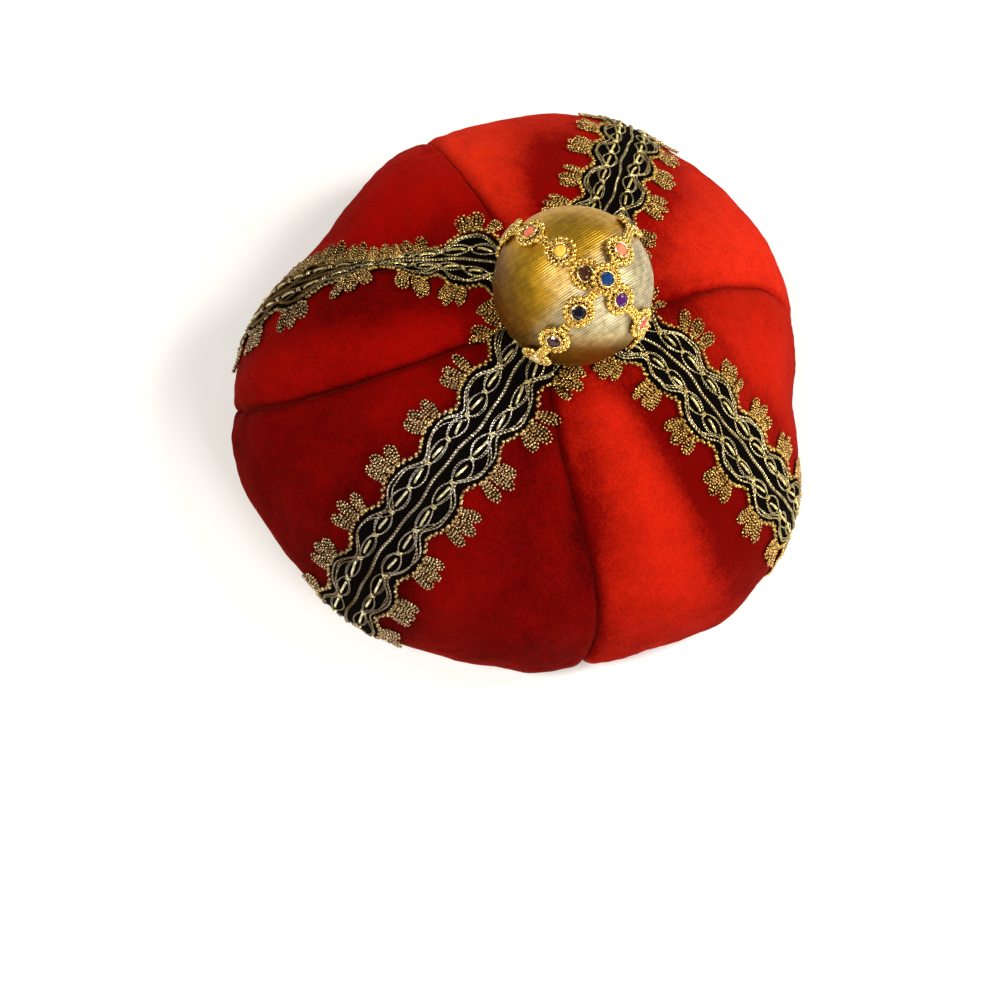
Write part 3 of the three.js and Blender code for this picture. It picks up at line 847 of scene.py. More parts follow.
def bead_material(name, shade, light, roughness, tarnish_and_shade=0.0, metallic=1.0):
    """Small gilt beads and crimped purl, each a little different"""
    material, tree, surface = new_material(name)
    grain = use_group(tree, GRAIN, Coarse=500.0, Fine=3500.0)
    share = weighed(tree, grain["Patches"], 0.4, mark(tree, "grain"), 0.6)
    colour, _ = worn_metal(tree, share, shade, light, tarnish_and_shade, 1.0, 0.45, BEAD_SHADE_COLOUR)
    rough = reckon(tree, "MULTIPLY_ADD", grain["Grain"], 0.15, roughness)
    normal = raised(tree, 0.3, 0.0001, grain["Grain"])
    finish_surface(tree, surface, {"Base Color": colour, "Roughness": rough, "Normal": normal},
                   Metallic=metallic)
    return material


def ball_cloth_material():
    """Gilt cloth with fine ribs, gold with painted shade and a pale painted reflection and highlight
    over it
    """
    material, tree, surface = new_material("ball_cloth")
    fine_rib = ribs(tree, "rib", 0.00085)
    broad_rib = ribs(tree, "rib", 0.0021)
    broken = use_group(tree, GRAIN, Coarse=420.0, Fine=1500.0)["Patches"]
    rib = reckon(tree, "MULTIPLY_ADD", reckon(tree, "MULTIPLY", broad_rib, broken), 0.7, fine_rib)
    rib = ramp(tree, reckon(tree, "MULTIPLY", rib, mark(tree, "ribbed")), -1.8, 1.8)
    grain = use_group(tree, GRAIN, Coarse=300.0, Fine=2500.0)
    shade = weighed(tree, grain["Patches"], 0.4, rib, 0.6)
    # Gold, pale for the painted reflection, and dark for the painted shade; the marks choose between
    # them
    gold = blend_colours(tree, shade, (0.34, 0.17, 0.007), (0.84, 0.48, 0.035))
    pale = blend_colours(tree, shade, (0.20, 0.15, 0.07), (0.78, 0.68, 0.42))
    shaded = blend_colours(tree, shade, (0.08, 0.03, 0.001), (0.25, 0.115, 0.002))
    gold = blend_colours(tree, reckon(tree, "MINIMUM", mark(tree, "shaded"), 1.0), gold, shaded)
    colour = blend_colours(tree, mark(tree, "pale"), gold, pale)
    rough = reckon(tree, "MULTIPLY_ADD", grain["Grain"], 0.18, 0.36)
    height = reckon(tree, "ADD", rib, reckon(tree, "MULTIPLY", grain["Grain"], 0.3))
    normal = raised(tree, 0.5, 0.0003, height)
    finish_surface(tree, surface, {"Base Color": colour, "Roughness": rough, "Normal": normal},
                   Metallic=0.95)
    return material


def stone_material(name, body, flash, milky):
    """Foil-backed cut stone, or a milky one"""
    material, tree, surface = new_material(name)
    grain = use_group(tree, GRAIN, Coarse=900.0, Fine=2500.0)
    facet = put(tree, "ShaderNodeVectorMath", {"operation": "SNAP"})
    tree.links.new(put(tree, "ShaderNodeNewGeometry").outputs["True Normal"], facet.inputs[0])
    facet.inputs[1].default_value = (0.02, 0.02, 0.02)
    facet = facet.outputs["Vector"]
    # Painted flashes: each facet takes a random share of the lighter flash colour
    glint = put(tree, "ShaderNodeTexWhiteNoise", {"noise_dimensions": "3D"}, Vector=facet)
    share = reckon(tree, "MULTIPLY", glint.outputs["Value"], 0.25 if milky else 0.75)
    share = reckon(tree, "MULTIPLY_ADD", grain["Patches"], 0.75 if milky else 0.25, share)
    colour = blend_colours(tree, share, body, flash)
    finish_surface(tree, surface, {"Base Color": colour},
                   Roughness=0.3 if milky else 0.05, Specular_IOR_Level=0.5)
    return material


# Velvet gores

GORE_COLUMNS = 96
GORE_ROWS = 118

# Relief over the solid's smooth face: heights, and how far from the seam each reaches
GROOVE_DEPTH = 0.0011
GROOVE_WIDTH = 0.0014
ROLL_HEIGHT = 0.0005
ROLL_PLACE = 0.0045
ROLL_WIDTH = 0.0025
PUCKER_HEIGHT = 0.0003
PUCKER_REACH = 0.010
PRESSED_DEPTH = 0.0003         # how far a braid presses the pile under it

# Distances from a braid's middle: pressed velvet up to the first two, loose from the others on
PRESSED_FROM = 0.012
PRESSED_TO = 0.018
LOOSE_FROM = 0.022
LOOSE_TO = 0.034

# Least and greatest relief
RELIEF_LOW = -0.0012
RELIEF_HIGH = 0.003


def velvet_relief(azimuth, along, points, braid_lines):
    """What the pile and its sewing add to the solid's smooth face, and its painted light and shade"""
    gore = np.minimum(across_gore(azimuth, along), 1 - across_gore(azimuth, along))
    width = CAP_RADIUS * 1.6 * np.clip(along / 0.4, 0.05, 1)
    from_seam = gore * width
    groove = -GROOVE_DEPTH * np.exp(-((from_seam / GROOVE_WIDTH) ** 2))
    rolled = ROLL_HEIGHT * np.exp(-(((from_seam - ROLL_PLACE) / ROLL_WIDTH) ** 2))
    pucker = PUCKER_HEIGHT * np.exp(-(from_seam / PUCKER_REACH)) * soft_noise(points, 0.009, 3)
    slack = 0.0008 * soft_noise(points, 0.055, 5) + 0.0003 * soft_noise(points, 0.02, 11)
    crush = 0.00012 * soft_noise(points, 0.006, 17, 24)
    nearest = np.full(along.shape, 1.0)
    for line in braid_lines:
        for part in np.array_split(line, 8):
            gaps = np.linalg.norm(points[..., None, :] - part[::3], axis=-1).min(-1)
            nearest = np.minimum(nearest, gaps)
    open_velvet = smooth(nearest, LOOSE_FROM, LOOSE_TO)
    pressed = -PRESSED_DEPTH * (1 - smooth(nearest, PRESSED_FROM, PRESSED_TO))
    free = smooth(along, 0.12, 0.24) * (1 - smooth(along, 0.68, 0.8))
    slack += fold_and_shade_spots(azimuth, along, SPOT_FOLD_HEIGHT) * 0.001
    loose = (slack * smooth(from_seam, 0.002, 0.012) + pucker + rolled) * open_velvet * free
    hem = 1 - smooth(along, 0.8, 0.88)
    relief = (PILE + groove + loose + crush * open_velvet) * hem + pressed * free
    # Painted light and shade: the table's spots, painted shade beside the braids and in the seams, and
    # darker lower down
    painted_nap_shade = 0.5 + fold_and_shade_spots(azimuth, along, SPOT_PAINTED_SHADE) * 0.6 - 0.12 * (1 - open_velvet)
    painted_nap_shade -= 0.3 * np.exp(-from_seam / 0.002)
    painted_nap_shade -= 0.12 * smooth(along, 0.45, 0.6)
    painted_nap_shade = 0.4 * np.clip(painted_nap_shade, 0, 1) + 0.6 * smooth(painted_nap_shade, 0.15, 0.85)
    return np.clip(relief, RELIEF_LOW, RELIEF_HIGH), painted_nap_shade


def velvet_gore(name, k, node, materials, braid_lines):
    """A gore with its pile outside and its backing inside; columns lie closer at the seams"""
    share = np.linspace(0, 1, GORE_COLUMNS + 1)
    share = 0.4 * share + 0.6 * (1 - np.cos(math.pi * share)) / 2
    along = np.linspace(MIDDLE_HOLE, 1, GORE_ROWS + 1)
    start = seam_azimuth(k, along)
    width = (seam_azimuth((k + 1) % len(SEAMS), along) - start) % 360
    azimuth = start[None] + width[None] * share[:, None]
    along = np.broadcast_to(along, azimuth.shape)
    a = np.radians(azimuth)
    place = np.stack([along * np.cos(a), along * np.sin(a)], -1)
    base, normal = map_point(place), map_normal(place)
    relief, painted_nap_shade = velvet_relief(azimuth, along, base, braid_lines)
    outer = base + normal * relief[..., None]
    outer[..., 2] = np.maximum(outer[..., 2], 0)
    inner = base - normal * VELVET_WALL
    rings = np.concatenate([outer, inner[:, ::-1]], 1)
    columns, around = rings.shape[:2]
    ends = end_faces(columns, around)
    faces = np.concatenate([ring_faces(columns, around), ends])
    inside = np.tile(np.arange(around) > GORE_ROWS, columns - 1)
    inside = np.concatenate([inside, np.ones(len(ends), bool)])
    marks = {"painted_nap_shade": np.concatenate([painted_nap_shade, np.zeros(painted_nap_shade.shape)], 1)}
    piece = mesh_object(name, rings.reshape(-1, 3), faces, materials, marks=marks, inside=inside)
    return wear(piece, "velvet", node)


# Braid pieces

GROUND_STEP = 0.0012
GROUND_COLUMNS = 25
EDGE_LINE = 0.0004             # from the woven width's edge in to the ground, and out to its cord
EDGE_DROP = 0.0005


def braid_ground(name, strip, node, material):
    """The black woven ground with its waisted edge"""
    distance = np.arange(strip.start, strip.end, GROUND_STEP)
    share = np.linspace(-1, 1, GROUND_COLUMNS)
    d, s = np.meshgrid(distance, share, indexing="ij")
    across = s * (braid_half(d) - EDGE_LINE)
    low, _ = strip.lay(d, across, np.full(d.shape, BRAID_LOW))
    high, _ = strip.lay(d, across, GROUND_TOP - EDGE_DROP * np.abs(s) ** 6)
    rings = np.concatenate([low, high[:, ::-1]], 1)
    rows, around = rings.shape[:2]
    faces = np.concatenate([ring_faces(rows, around), end_faces(rows, around)])
    marks = {"across": np.concatenate([across, across[:, ::-1]], 1)}
    piece = mesh_object(name, rings.reshape(-1, 3), faces, [material], marks=marks)
    return wear(piece, "gilt_braid", node)


THREAD_STEP = 0.0007
THREAD_LIFT = 0.0004           # middle of most threads over the ground


def thread(strip, distance, across, height, radius, flat=1.0, sides=6):
    """A thread laid on a braid"""
    path, up = strip.lay(distance, across, height)
    radius = radius * strip.room(distance)
    return tube(path, up, radius, radius * flat, sides)


# Middle cord: length of one twist, and its two threads
CORD_LAY = 0.0026
CORD_THREAD = 0.00042
CORD_TWIST = 0.00036           # from the cord's own line to the middle of each thread

# Band of wavy cords on each side: shift outward, share of the swing, radius
WAVY_CORDS = (
    (0.0, 1.0, 0.00026),
    (0.0009, 0.90, 0.00040),
    (-0.0007, 1.18, 0.00024),
)
WAVY_LINE = 0.0090             # middle line of each band, from the braid's middle
WAVY_SWING = 0.0025
WAVY_LIFT = 0.00045


def braid_cords(name, strip, material):
    """The twisted middle cord, and on each side a band of three wavy cords"""
    distance = strip.run_in_steps(THREAD_STEP)
    chance = np.random.default_rng(31)
    parts = []
    drift = 0.0005 * wave_along(distance, 0.041) + 0.0003 * wave_along(distance, 0.017)
    for half_turn in (0, math.pi):
        turn = 2 * math.pi * distance / CORD_LAY + half_turn
        across = drift + CORD_TWIST * np.cos(turn)
        height = GROUND_TOP + THREAD_LIFT + CORD_TWIST * np.sin(turn)
        parts.append(thread(strip, distance, across, height, CORD_THREAD))
    for side in (-1, 1):
        for offset, share, radius in WAVY_CORDS:
            lag = chance.uniform(-0.0006, 0.0006)
            turn = 2 * math.pi * (distance - PICOT_SHIFT + lag) / PICOT_PITCH
            wave = np.cos(turn - 0.45 * np.sin(turn))
            ripple = 0.0003 * wave_along(distance, chance.uniform(0.011, 0.018), chance.uniform(0, 6))
            ripple += 0.0004 * wave_along(distance, chance.uniform(0.035, 0.06), chance.uniform(0, 6))
            across = side * (WAVY_LINE + WAVY_SWING * share * wave + offset + ripple)
            lift = 0.00025 * wave_along(distance, 0.009, chance.uniform(0, 6))
            parts.append(thread(strip, distance, across, GROUND_TOP + WAVY_LIFT + lift, radius))
    return dress(name, parts, material, "gilt_braid")


OVAL_HALF = 0.0027
OVAL_THREAD = 0.00022
OVAL_INSET = 0.00046           # from an oval's outer thread to its inner one
OVAL_FULLNESS = 0.62           # 1 is a sine, less is rounder


def braid_ovals(name, strip, material):
    """Two chains of ovals, each oval of double threads that cross between it and the next"""
    distance = strip.run_in_steps(THREAD_STEP)
    phase = math.pi * (distance - PICOT_SHIFT) / OVAL_PITCH
    wave = np.sin(phase)
    parts = []
    for side in (-1, 1):
        line = side * CHAIN_LINE + 0.0004 * wave_along(distance, 0.034, side)
        width = OVAL_HALF + 0.0005 * wave_along(distance, 0.047, 2 * side)
        for strand in (-1, 1):
            for inset in (0.0, OVAL_INSET + 0.0002 * strand * side):
                swing = strand * (width - inset) * np.sign(wave) * np.abs(wave) ** OVAL_FULLNESS
                height = GROUND_TOP + THREAD_LIFT + 0.0003 * strand * np.cos(phase)
                parts.append(thread(strip, distance, line + swing, height, OVAL_THREAD))
    return dress(name, parts, material, "gilt_braid")


BAR_THREAD = 0.00052
WRAP_THREAD = 0.00034
WRAP_HALF = 0.0011
WRAP_SHIFT = 0.0004            # of each of a wrap's two turns, from the crossing


def braid_bars(name, strip, material):
    """A bright bar in each oval, and a small wrap over each crossing"""
    parts = []
    first, last = strip.repeats(OVAL_PITCH)
    chance = np.random.default_rng(21)
    run = np.linspace(-1, 1, 9)
    for side in (-1, 1):
        line = side * CHAIN_LINE
        for k in range(first, last):
            start = PICOT_SHIFT + k * OVAL_PITCH
            middle = start + OVAL_PITCH / 2 + chance.uniform(-0.0006, 0.0006)
            tilt = chance.uniform(-0.0007, 0.0007)
            along = middle + run * chance.uniform(0.0026, 0.0037)
            height = GROUND_TOP + 0.0002 + 0.0006 * (1 - run**4)
            parts.append(thread(strip, along, line + tilt * run, height, BAR_THREAD, 0.9, 8))
            for shift in (-WRAP_SHIFT, WRAP_SHIFT):
                along = start + shift + chance.uniform(-0.0007, 0.0007) * run
                height = GROUND_TOP + THREAD_LIFT + 0.0007 * (1 - run**2)
                parts.append(thread(strip, along, line + run * WRAP_HALF, height, WRAP_THREAD))
    return dress(name, parts, material, "gilt_braid")


PURL_SPACING = 0.00128
PURL_RADIUS = 0.00056
EDGE_STEP = 0.0004
EDGE_SPACING = 0.00125
EDGE_RADIUS = 0.00084
EDGE_ZIGZAG = 0.0003

# Between these distances, the back picots of the lower braid stand up
STANDING_TO = -0.100
STANDING_FROM = -0.045
STANDING_RISE = 0.0034

# Between these, its back edge is gathered, so that one more picot stands in each gap
GATHERED_TO = -0.125
GATHERED_FROM = -0.070

# Lobes of a picot: base along the braid, lean in degrees, length and width; lengths are shares
# of the picot's own
LOBES = (
    (0.00, 0, 1.00, 0.38),
    (-0.29, -11, 0.88, 0.37),
    (0.29, 11, 0.86, 0.37),
)


def lobe(length, width):
    """One leaf of crimped purl: a loop, a smaller loop in it and a vein"""
    turn = np.linspace(0, 2 * math.pi, 72)
    places = []
    for share in (1.0, 0.52):
        side = width / 2 * share * np.sin(turn) * (0.80 - 0.20 * np.cos(turn))
        out = length * (0.5 + 0.5 * (0.88 + 0.12 * share) * share**0.4 * -np.cos(turn))
        places.append(spaced(np.stack([side, out], -1), PURL_SPACING)[1:])
    vein = np.stack([np.zeros(20), np.linspace(0.1, 0.82, 20) * length], -1)
    places.append(spaced(vein, PURL_SPACING))
    return np.concatenate(places)


PICOT_ROOT = BRAID_HALF - 0.0004
LEAF_SINK = 0.0004             # middle of a leaf's beads under the ground's top
CORE_SINK = 0.0007
CORE_THICKNESS = 0.00025
CORE_END = 0.96                # share of a leaf's length that its core fills


def picot_leaf(strip, side, middle, row, curl, sway, chance):
    """Places of one leaf's beads over the cap, and the dark core under them"""
    base, lean, length, width = row
    lean = math.radians(lean + sway + chance.normal(0, 4))
    length = PICOT_REACH * length * chance.uniform(0.92, 1.06)
    width = PICOT_WIDTH * width * chance.uniform(0.92, 1.08)
    flat = lobe(length, width)
    x = flat[:, 0] * math.cos(lean) + flat[:, 1] * math.sin(lean) + base * PICOT_WIDTH
    y = flat[:, 1] * math.cos(lean) - flat[:, 0] * math.sin(lean)
    share = np.clip(y / PICOT_REACH, 0, 1)
    tilt = chance.uniform(-0.0003, 0.0003) * flat[:, 0] / width
    height = GROUND_TOP - LEAF_SINK + curl * share**2 + tilt + chance.normal(0, 0.00013, len(x))
    wobble = chance.normal(0, 0.00010, (2, len(x)))
    across = side * (PICOT_ROOT + y + wobble[1])
    points, _ = strip.lay(middle + x + wobble[0], across, height)
    run = np.linspace(0.0, CORE_END, 12)
    along = middle + run * length * math.sin(lean) + base * PICOT_WIDTH
    out = run * length * math.cos(lean)
    height = GROUND_TOP - CORE_SINK + curl * (out / PICOT_REACH) ** 2
    path, up = strip.lay(along, side * (PICOT_ROOT + out), height)
    half = width * 0.46 * np.sin(math.pi * (0.12 + 0.84 * run)) + 0.0001
    return points, tube(path, up, half, CORE_THICKNESS, 8)


def braid_picots(name, strip, material, core):
    """Leaf-shaped picots of crimped gilt purl, three lobes each"""
    chance = np.random.default_rng(5)
    centres, cores = [], []
    first, last = strip.repeats(PICOT_PITCH)
    for side in (-1, 1):
        back_of_lower = side > 0 and not strip.over
        middles = [PICOT_SHIFT + k * PICOT_PITCH for k in range(first, last + 1)]
        if back_of_lower:
            between = [middle + PICOT_PITCH / 2 for middle in middles]
            middles += [middle for middle in between if GATHERED_TO < middle < GATHERED_FROM]
        for middle in middles:
            curl = chance.uniform(-0.0001, 0.0011)
            sway = chance.uniform(-9, 9)
            if back_of_lower and STANDING_TO < middle < STANDING_FROM:
                curl += STANDING_RISE
            for row in LOBES:
                points, leaf_core = picot_leaf(strip, side, middle, row, curl, sway, chance)
                centres.append(points)
                cores.append(leaf_core)
    dress(name + "_cores", cores, core, "gilt_braid")
    return purl_piece(name, np.concatenate(centres), PURL_RADIUS, chance, material)


def braid_edge(name, strip, material):
    """The crimped cord that follows the ground's waisted edge"""
    chance = np.random.default_rng(6)
    centres = []
    distance = strip.run_in_steps(EDGE_STEP)
    for side in (-1, 1):
        line = np.stack([distance, side * (braid_half(distance) + EDGE_LINE)], -1)
        flat = spaced(line, EDGE_SPACING)
        flat[::2, 1] += EDGE_ZIGZAG
        flat[1::2, 1] -= EDGE_ZIGZAG
        flat += chance.normal(0, 0.00014, flat.shape)
        height = GROUND_TOP + chance.normal(0, 0.0001, len(flat))
        centres.append(strip.lay(flat[:, 0], flat[:, 1], height)[0])
    return purl_piece(name, np.concatenate(centres), EDGE_RADIUS, chance, material)


def purl_piece(name, centres, radius, chance, material):
    """A piece of beads whose sizes differ a little"""
    radii = radius * chance.uniform(0.82, 1.15, len(centres))
    return dress(name, [beads(centres, radii)], material, "gilt_braid")


# Ball

# Directions out of the ball: across its ribs, and toward its painted reflection, shade, low shade and
# highlight
RIB_AXIS = unit(np.array([-0.83, 0.51, 0.23]))
REFLECTION_SIDE = unit(np.array([0.85, -0.30, 0.1]))
SHADED_SIDE = unit(np.array([-0.70, -0.64, -0.30]))
LOW_SHADE_SIDE = unit(np.array([0.41, -0.83, -0.38]))
HIGHLIGHT_SIDE = unit(np.array([-0.16, -0.43, 0.88]))
BALL_ROWS = 110
BALL_COLUMNS = 200
PLEATS = 26
PLEAT_HEIGHT = 0.0007
PLEAT_REACH = 0.75             # how far up from the seat they go, in radians


def covered_ball(material):
    """The cloth pulled over the ball, with soft pleats where it is gathered at the seat"""
    seat_down = math.acos(max(-1.0, (SEAT_Z - BALL_CENTRE[2]) / BALL_RADIUS))
    down = np.linspace(0.004, seat_down, BALL_ROWS)
    azimuth = np.linspace(0, 2 * math.pi, BALL_COLUMNS, endpoint=False)
    d, a = np.meshgrid(down, azimuth, indexing="ij")
    direction = np.stack([np.sin(d) * np.cos(a), np.sin(d) * np.sin(a), np.cos(d)], -1)
    gathered = smooth(d, seat_down - PLEAT_REACH, seat_down)
    pleats = PLEAT_HEIGHT * gathered * np.sin(a * PLEATS + 1.5 * np.sin(a * 3))
    bumps = 0.00012 * soft_noise(direction, 0.5, 9)
    points = BALL_CENTRE + direction * (BALL_RADIUS + pleats + bumps - 0.0002)[..., None]
    points[-1, :, 2] = SEAT_Z
    flat_middle = np.array([[AXIS_X, AXIS_Y, SEAT_Z]])
    top = np.array([BALL_CENTRE + [0, 0, BALL_RADIUS]])
    quads = ring_faces(BALL_ROWS, BALL_COLUMNS)
    pole = BALL_ROWS * BALL_COLUMNS
    here = np.arange(BALL_COLUMNS)
    turned = (here + 1) % BALL_COLUMNS
    last = pole - BALL_COLUMNS
    faces = np.concatenate([
        quads[:, [0, 3, 2]],
        quads[:, [0, 2, 1]],
        np.stack([np.full(BALL_COLUMNS, pole), here, turned], -1),
        np.stack([np.full(BALL_COLUMNS, pole + 1), last + turned, last + here], -1),
    ])
    points = np.concatenate([points.reshape(-1, 3), top, flat_middle])
    rib = (points - BALL_CENTRE) @ RIB_AXIS
    out = unit(points - BALL_CENTRE)
    ribbed = 1 - 0.85 * smooth(np.abs(out @ RIB_AXIS), 0.72, 0.93)
    # Painted light: shade on one side and underneath, a pale reflection on the other side, and a small
    # highlight
    low = smooth(out @ LOW_SHADE_SIDE, 0.52, 0.84)
    pale = smooth(out @ REFLECTION_SIDE, 0.05, 0.4) * (1 - low) * smooth(out[:, 2], -0.35, 0.15)
    pale += 0.4 * smooth(out @ HIGHLIGHT_SIDE, 0.95, 0.998) * (1 - pale)
    shaded = np.clip(smooth(out @ SHADED_SIDE, 0.36, 0.78) + low, 0, 1)
    rib = rib + 0.00012 * soft_noise(points, 0.02, 13)
    marks = {"rib": rib, "ribbed": ribbed, "pale": pale, "shaded": shaded}
    piece = mesh_object("covered_ball", points, faces, [material], marks=marks)
    return wear(piece, "gilt_cloth", "ball")


# Jewelled trim. Rows: azimuth, angle from the top, lift in thicknesses of a ring, stone

SIDE_RINGS = (
    (166, 101, 0, "left_clear"),
    (170, 73, 0, "left_topaz"),
    (179, 44.5, 0, "left_coral"),
    (212, 20, 0, "top_amber"),
    (282, 19, 0, "top_brown"),
    (329, 40.5, 0, "right_purple"),
    (344, 70.5, 0, "right_red"),
    (350, 99, 0, "right_clear"),
)
FRONT_RINGS = (
    (75, 82, 0, "back_topaz"),
    (66, 53.5, 0, "back_green"),
    (25, 21, 0.15, "back_coral"),
    (317, 23.5, 1.5, "top_blue"),
    (285, 44.5, 0, "front_black"),
    (273.5, 70.5, 0, "front_garnet"),
    (267, 99, 0, "front_clear"),
)
RING_RADIUS = 0.0058
RING_THICKNESS = 0.0014
RING_OVER_BALL = 0.00005
STONE_RADIUS = 0.00225

# Circles of beads in a ring: radius, height, beads, radius of a bead
RIM = (RING_RADIUS - 0.00078, 0.00075, 16, 0.00098)
INNER_RIM = (0.0031, 0.0014, 20, 0.00040)

# Closed bands of a ring: radius, height, half width, half height, places around
RING_WIRE = (RING_RADIUS - 0.0018, 0.0005, 0.0003, 0.0004, 32)
COLLET = (0.00268, 0.0010, 0.00038, 0.0011, 32)
# The dark floors under the openwork are painted shadow between its beads and petals
SHADOW_FLOORS = (
    (0.0037, 0.00025, 0.0014, 0.0002, 24),
    (0.0013, 0.0003, 0.0013, 0.0002, 24),
)

# Petals between collet and rim: how many, and radius and height along one
PETALS = 16
PETAL_HALF_WIDTH = 0.00038
PETAL_HALF_HEIGHT = 0.0004
PETAL = ((0.0031, 0.0007), (0.0036, 0.0009), (0.0041, 0.0009), (0.0046, 0.0007))

# Beads that link two rings
LINK_BEAD_RADIUS = 0.00078
LINK_SPACING = 0.0013
LINK_ROWS = 0.0012             # from one of the three rows to the next
LINK_LIFT = 0.0006
LINK_DROP = 0.0002             # how much lower the outer rows lie
LINK_OVERLAP = 0.0012


def ring_frame(row):
    """Where a ring lies on the ball: its own z points out"""
    azimuth, down = math.radians(row[0]), math.radians(row[1])
    sideways = math.sin(down)
    out = Vector((sideways * math.cos(azimuth), sideways * math.sin(azimuth), math.cos(down)))
    height = BALL_RADIUS + RING_OVER_BALL + row[2] * RING_THICKNESS
    turn = Vector((0, 0, 1)).rotation_difference(out).to_matrix().to_4x4()
    return Matrix.Translation(Vector(BALL_CENTRE) + out * height) @ turn


def carried(points, matrix):
    """Points moved and turned by a matrix"""
    m = np.array(matrix)
    return points @ m[:3, :3].T + m[:3, 3]


def circle(radius, height, count):
    turn = np.linspace(0, 2 * math.pi, count, endpoint=False)
    return np.stack([radius * np.cos(turn), radius * np.sin(turn), np.full(count, height)], -1)


def ring_band(matrix, out, row):
    """A closed band around a ring"""
    radius, height, thick, tall, count = row
    path = carried(circle(radius, height, count), matrix)
    return tube(path, np.broadcast_to(out, path.shape), thick, tall, 8, closed=True)


def jewel_ring(row):
    """Beads, wires, collet and floor of one ring; the dark floor is painted shadow under the openwork
    """
    matrix = ring_frame(row)
    out = carried(np.array([0, 0, 1.0]), matrix) - carried(np.zeros(3), matrix)
    ring_beads = []
    for (radius, height, count, size), fine in ((RIM, True), (INNER_RIM, False)):
        ring_beads.append(beads(carried(circle(radius, height, count), matrix), size, fine))
    wires = [ring_band(matrix, out, RING_WIRE)]
    for turn in np.linspace(0, 2 * math.pi, PETALS, endpoint=False) + 0.2:
        petal = np.array([[r * math.cos(turn), r * math.sin(turn), h] for r, h in PETAL])
        path = carried(petal, matrix)
        across = np.broadcast_to(out, path.shape)
        wires.append(tube(path, across, PETAL_HALF_WIDTH, PETAL_HALF_HEIGHT, 6))
    shadow_floors = [ring_band(matrix, out, floor) for floor in SHADOW_FLOORS]
    return ring_beads, wires, [ring_band(matrix, out, COLLET)], shadow_floors


def link_beads(row, following):
    """Three rows of beads from a ring to the one that follows"""
    a, b = (np.array(ring_frame(r).translation) for r in (row, following))
    heading = unit(b - a)
    outward = unit((a + b) / 2 - BALL_CENTRE)
    radius = (np.linalg.norm(a - BALL_CENTRE) + np.linalg.norm(b - BALL_CENTRE)) / 2 + LINK_LIFT
    middle = BALL_CENTRE + outward * radius
    side = np.cross(outward, heading)
    room = np.linalg.norm(b - a) - 2 * RING_RADIUS + LINK_OVERLAP
    places = np.linspace(-room / 2, room / 2, max(2, int(room / LINK_SPACING) + 1))
    made = []
    for s in (-1, 0, 1):
        for place in places:
            centre = middle + heading * place + side * s * LINK_ROWS - outward * LINK_DROP * abs(s)
            made.append(beads(centre[None], LINK_BEAD_RADIUS, fine=True))
    return made


def jewel_trim(name, rows, gilt, wire, collet, shadow_floor_gilt):
    """Beaded rings with petals and collets on a dark floor that paints their shadow, joined by rows of
    beads
    """
    rings = [jewel_ring(row) for row in rows]
    bead_parts, wires, collets, shadow_floors = (sum(parts, []) for parts in zip(*rings))
    for row, following in zip(rows, rows[1:]):
        bead_parts += link_beads(row, following)
    dress("trim_" + name + "_beads", bead_parts, gilt, "gilt_metal", "jewel_trim_" + name)
    dress("trim_" + name + "_wire", wires, wire, "gilt_metal")
    dress("trim_" + name + "_collets", collets, collet, "gilt_metal")
    dress("trim_" + name + "_shadow_floor", shadow_floors, shadow_floor_gilt, "gilt_metal")


GIRDLE_CORNERS = 16
CROWN_CORNERS = GIRDLE_CORNERS // 2

# Levels of a cut stone: height, share of its radius, corners, and turn in corners
STONE_LEVELS = (
    (0.0008, 0.0, 1, 0),
    (0.0015, 1.0, GIRDLE_CORNERS, 0.5),
    (0.00165, 1.0, GIRDLE_CORNERS, 0.5),
    (0.00215, 0.82, CROWN_CORNERS, 0),
    (0.00245, 0.55, CROWN_CORNERS, 0.5),
)


def cut_stone(row, material, slot):
    """Round cut stone: table, star and crown facets, girdle and a pointed back"""
    matrix = ring_frame(row)
    points, starts = [], []
    for height, share, count, shift in STONE_LEVELS:
        radius = STONE_RADIUS * share
        starts.append(len(points))
        for k in range(count):
            turn = 2 * math.pi * (k + shift) / count
            points.append((radius * math.cos(turn), radius * math.sin(turn), height))
    tip, low, high, star, table = starts
    faces = []
    for k in range(GIRDLE_CORNERS):
        after = (k + 1) % GIRDLE_CORNERS
        faces.append((tip, low + after, low + k))
        faces.append((low + k, low + after, high + after))
        faces.append((low + k, high + after, high + k))
    for k in range(CROWN_CORNERS):
        after = (k + 1) % CROWN_CORNERS
        faces.append((high + (2 * k - 1) % GIRDLE_CORNERS, high + 2 * k, star + k))
        faces.append((high + 2 * k, high + 2 * k + 1, star + k))
        faces.append((high + 2 * k + 1, star + after, star + k))
        faces.append((star + k, star + after, table + k))
        faces.append((star + after, table + after, table + k))
    faces += [(table, table + k, table + k + 1) for k in range(1, CROWN_CORNERS - 1)]
    points = carried(np.array(points), matrix)
    piece = mesh_object("cut_" + row[3], points, np.array(faces), [material], smooth_faces=False)
    return wear(piece, slot, "stone_" + row[3])


# Stage, light and camera

FLOOR_HALF = 6.0
FLOOR_HEIGHT = -0.0002


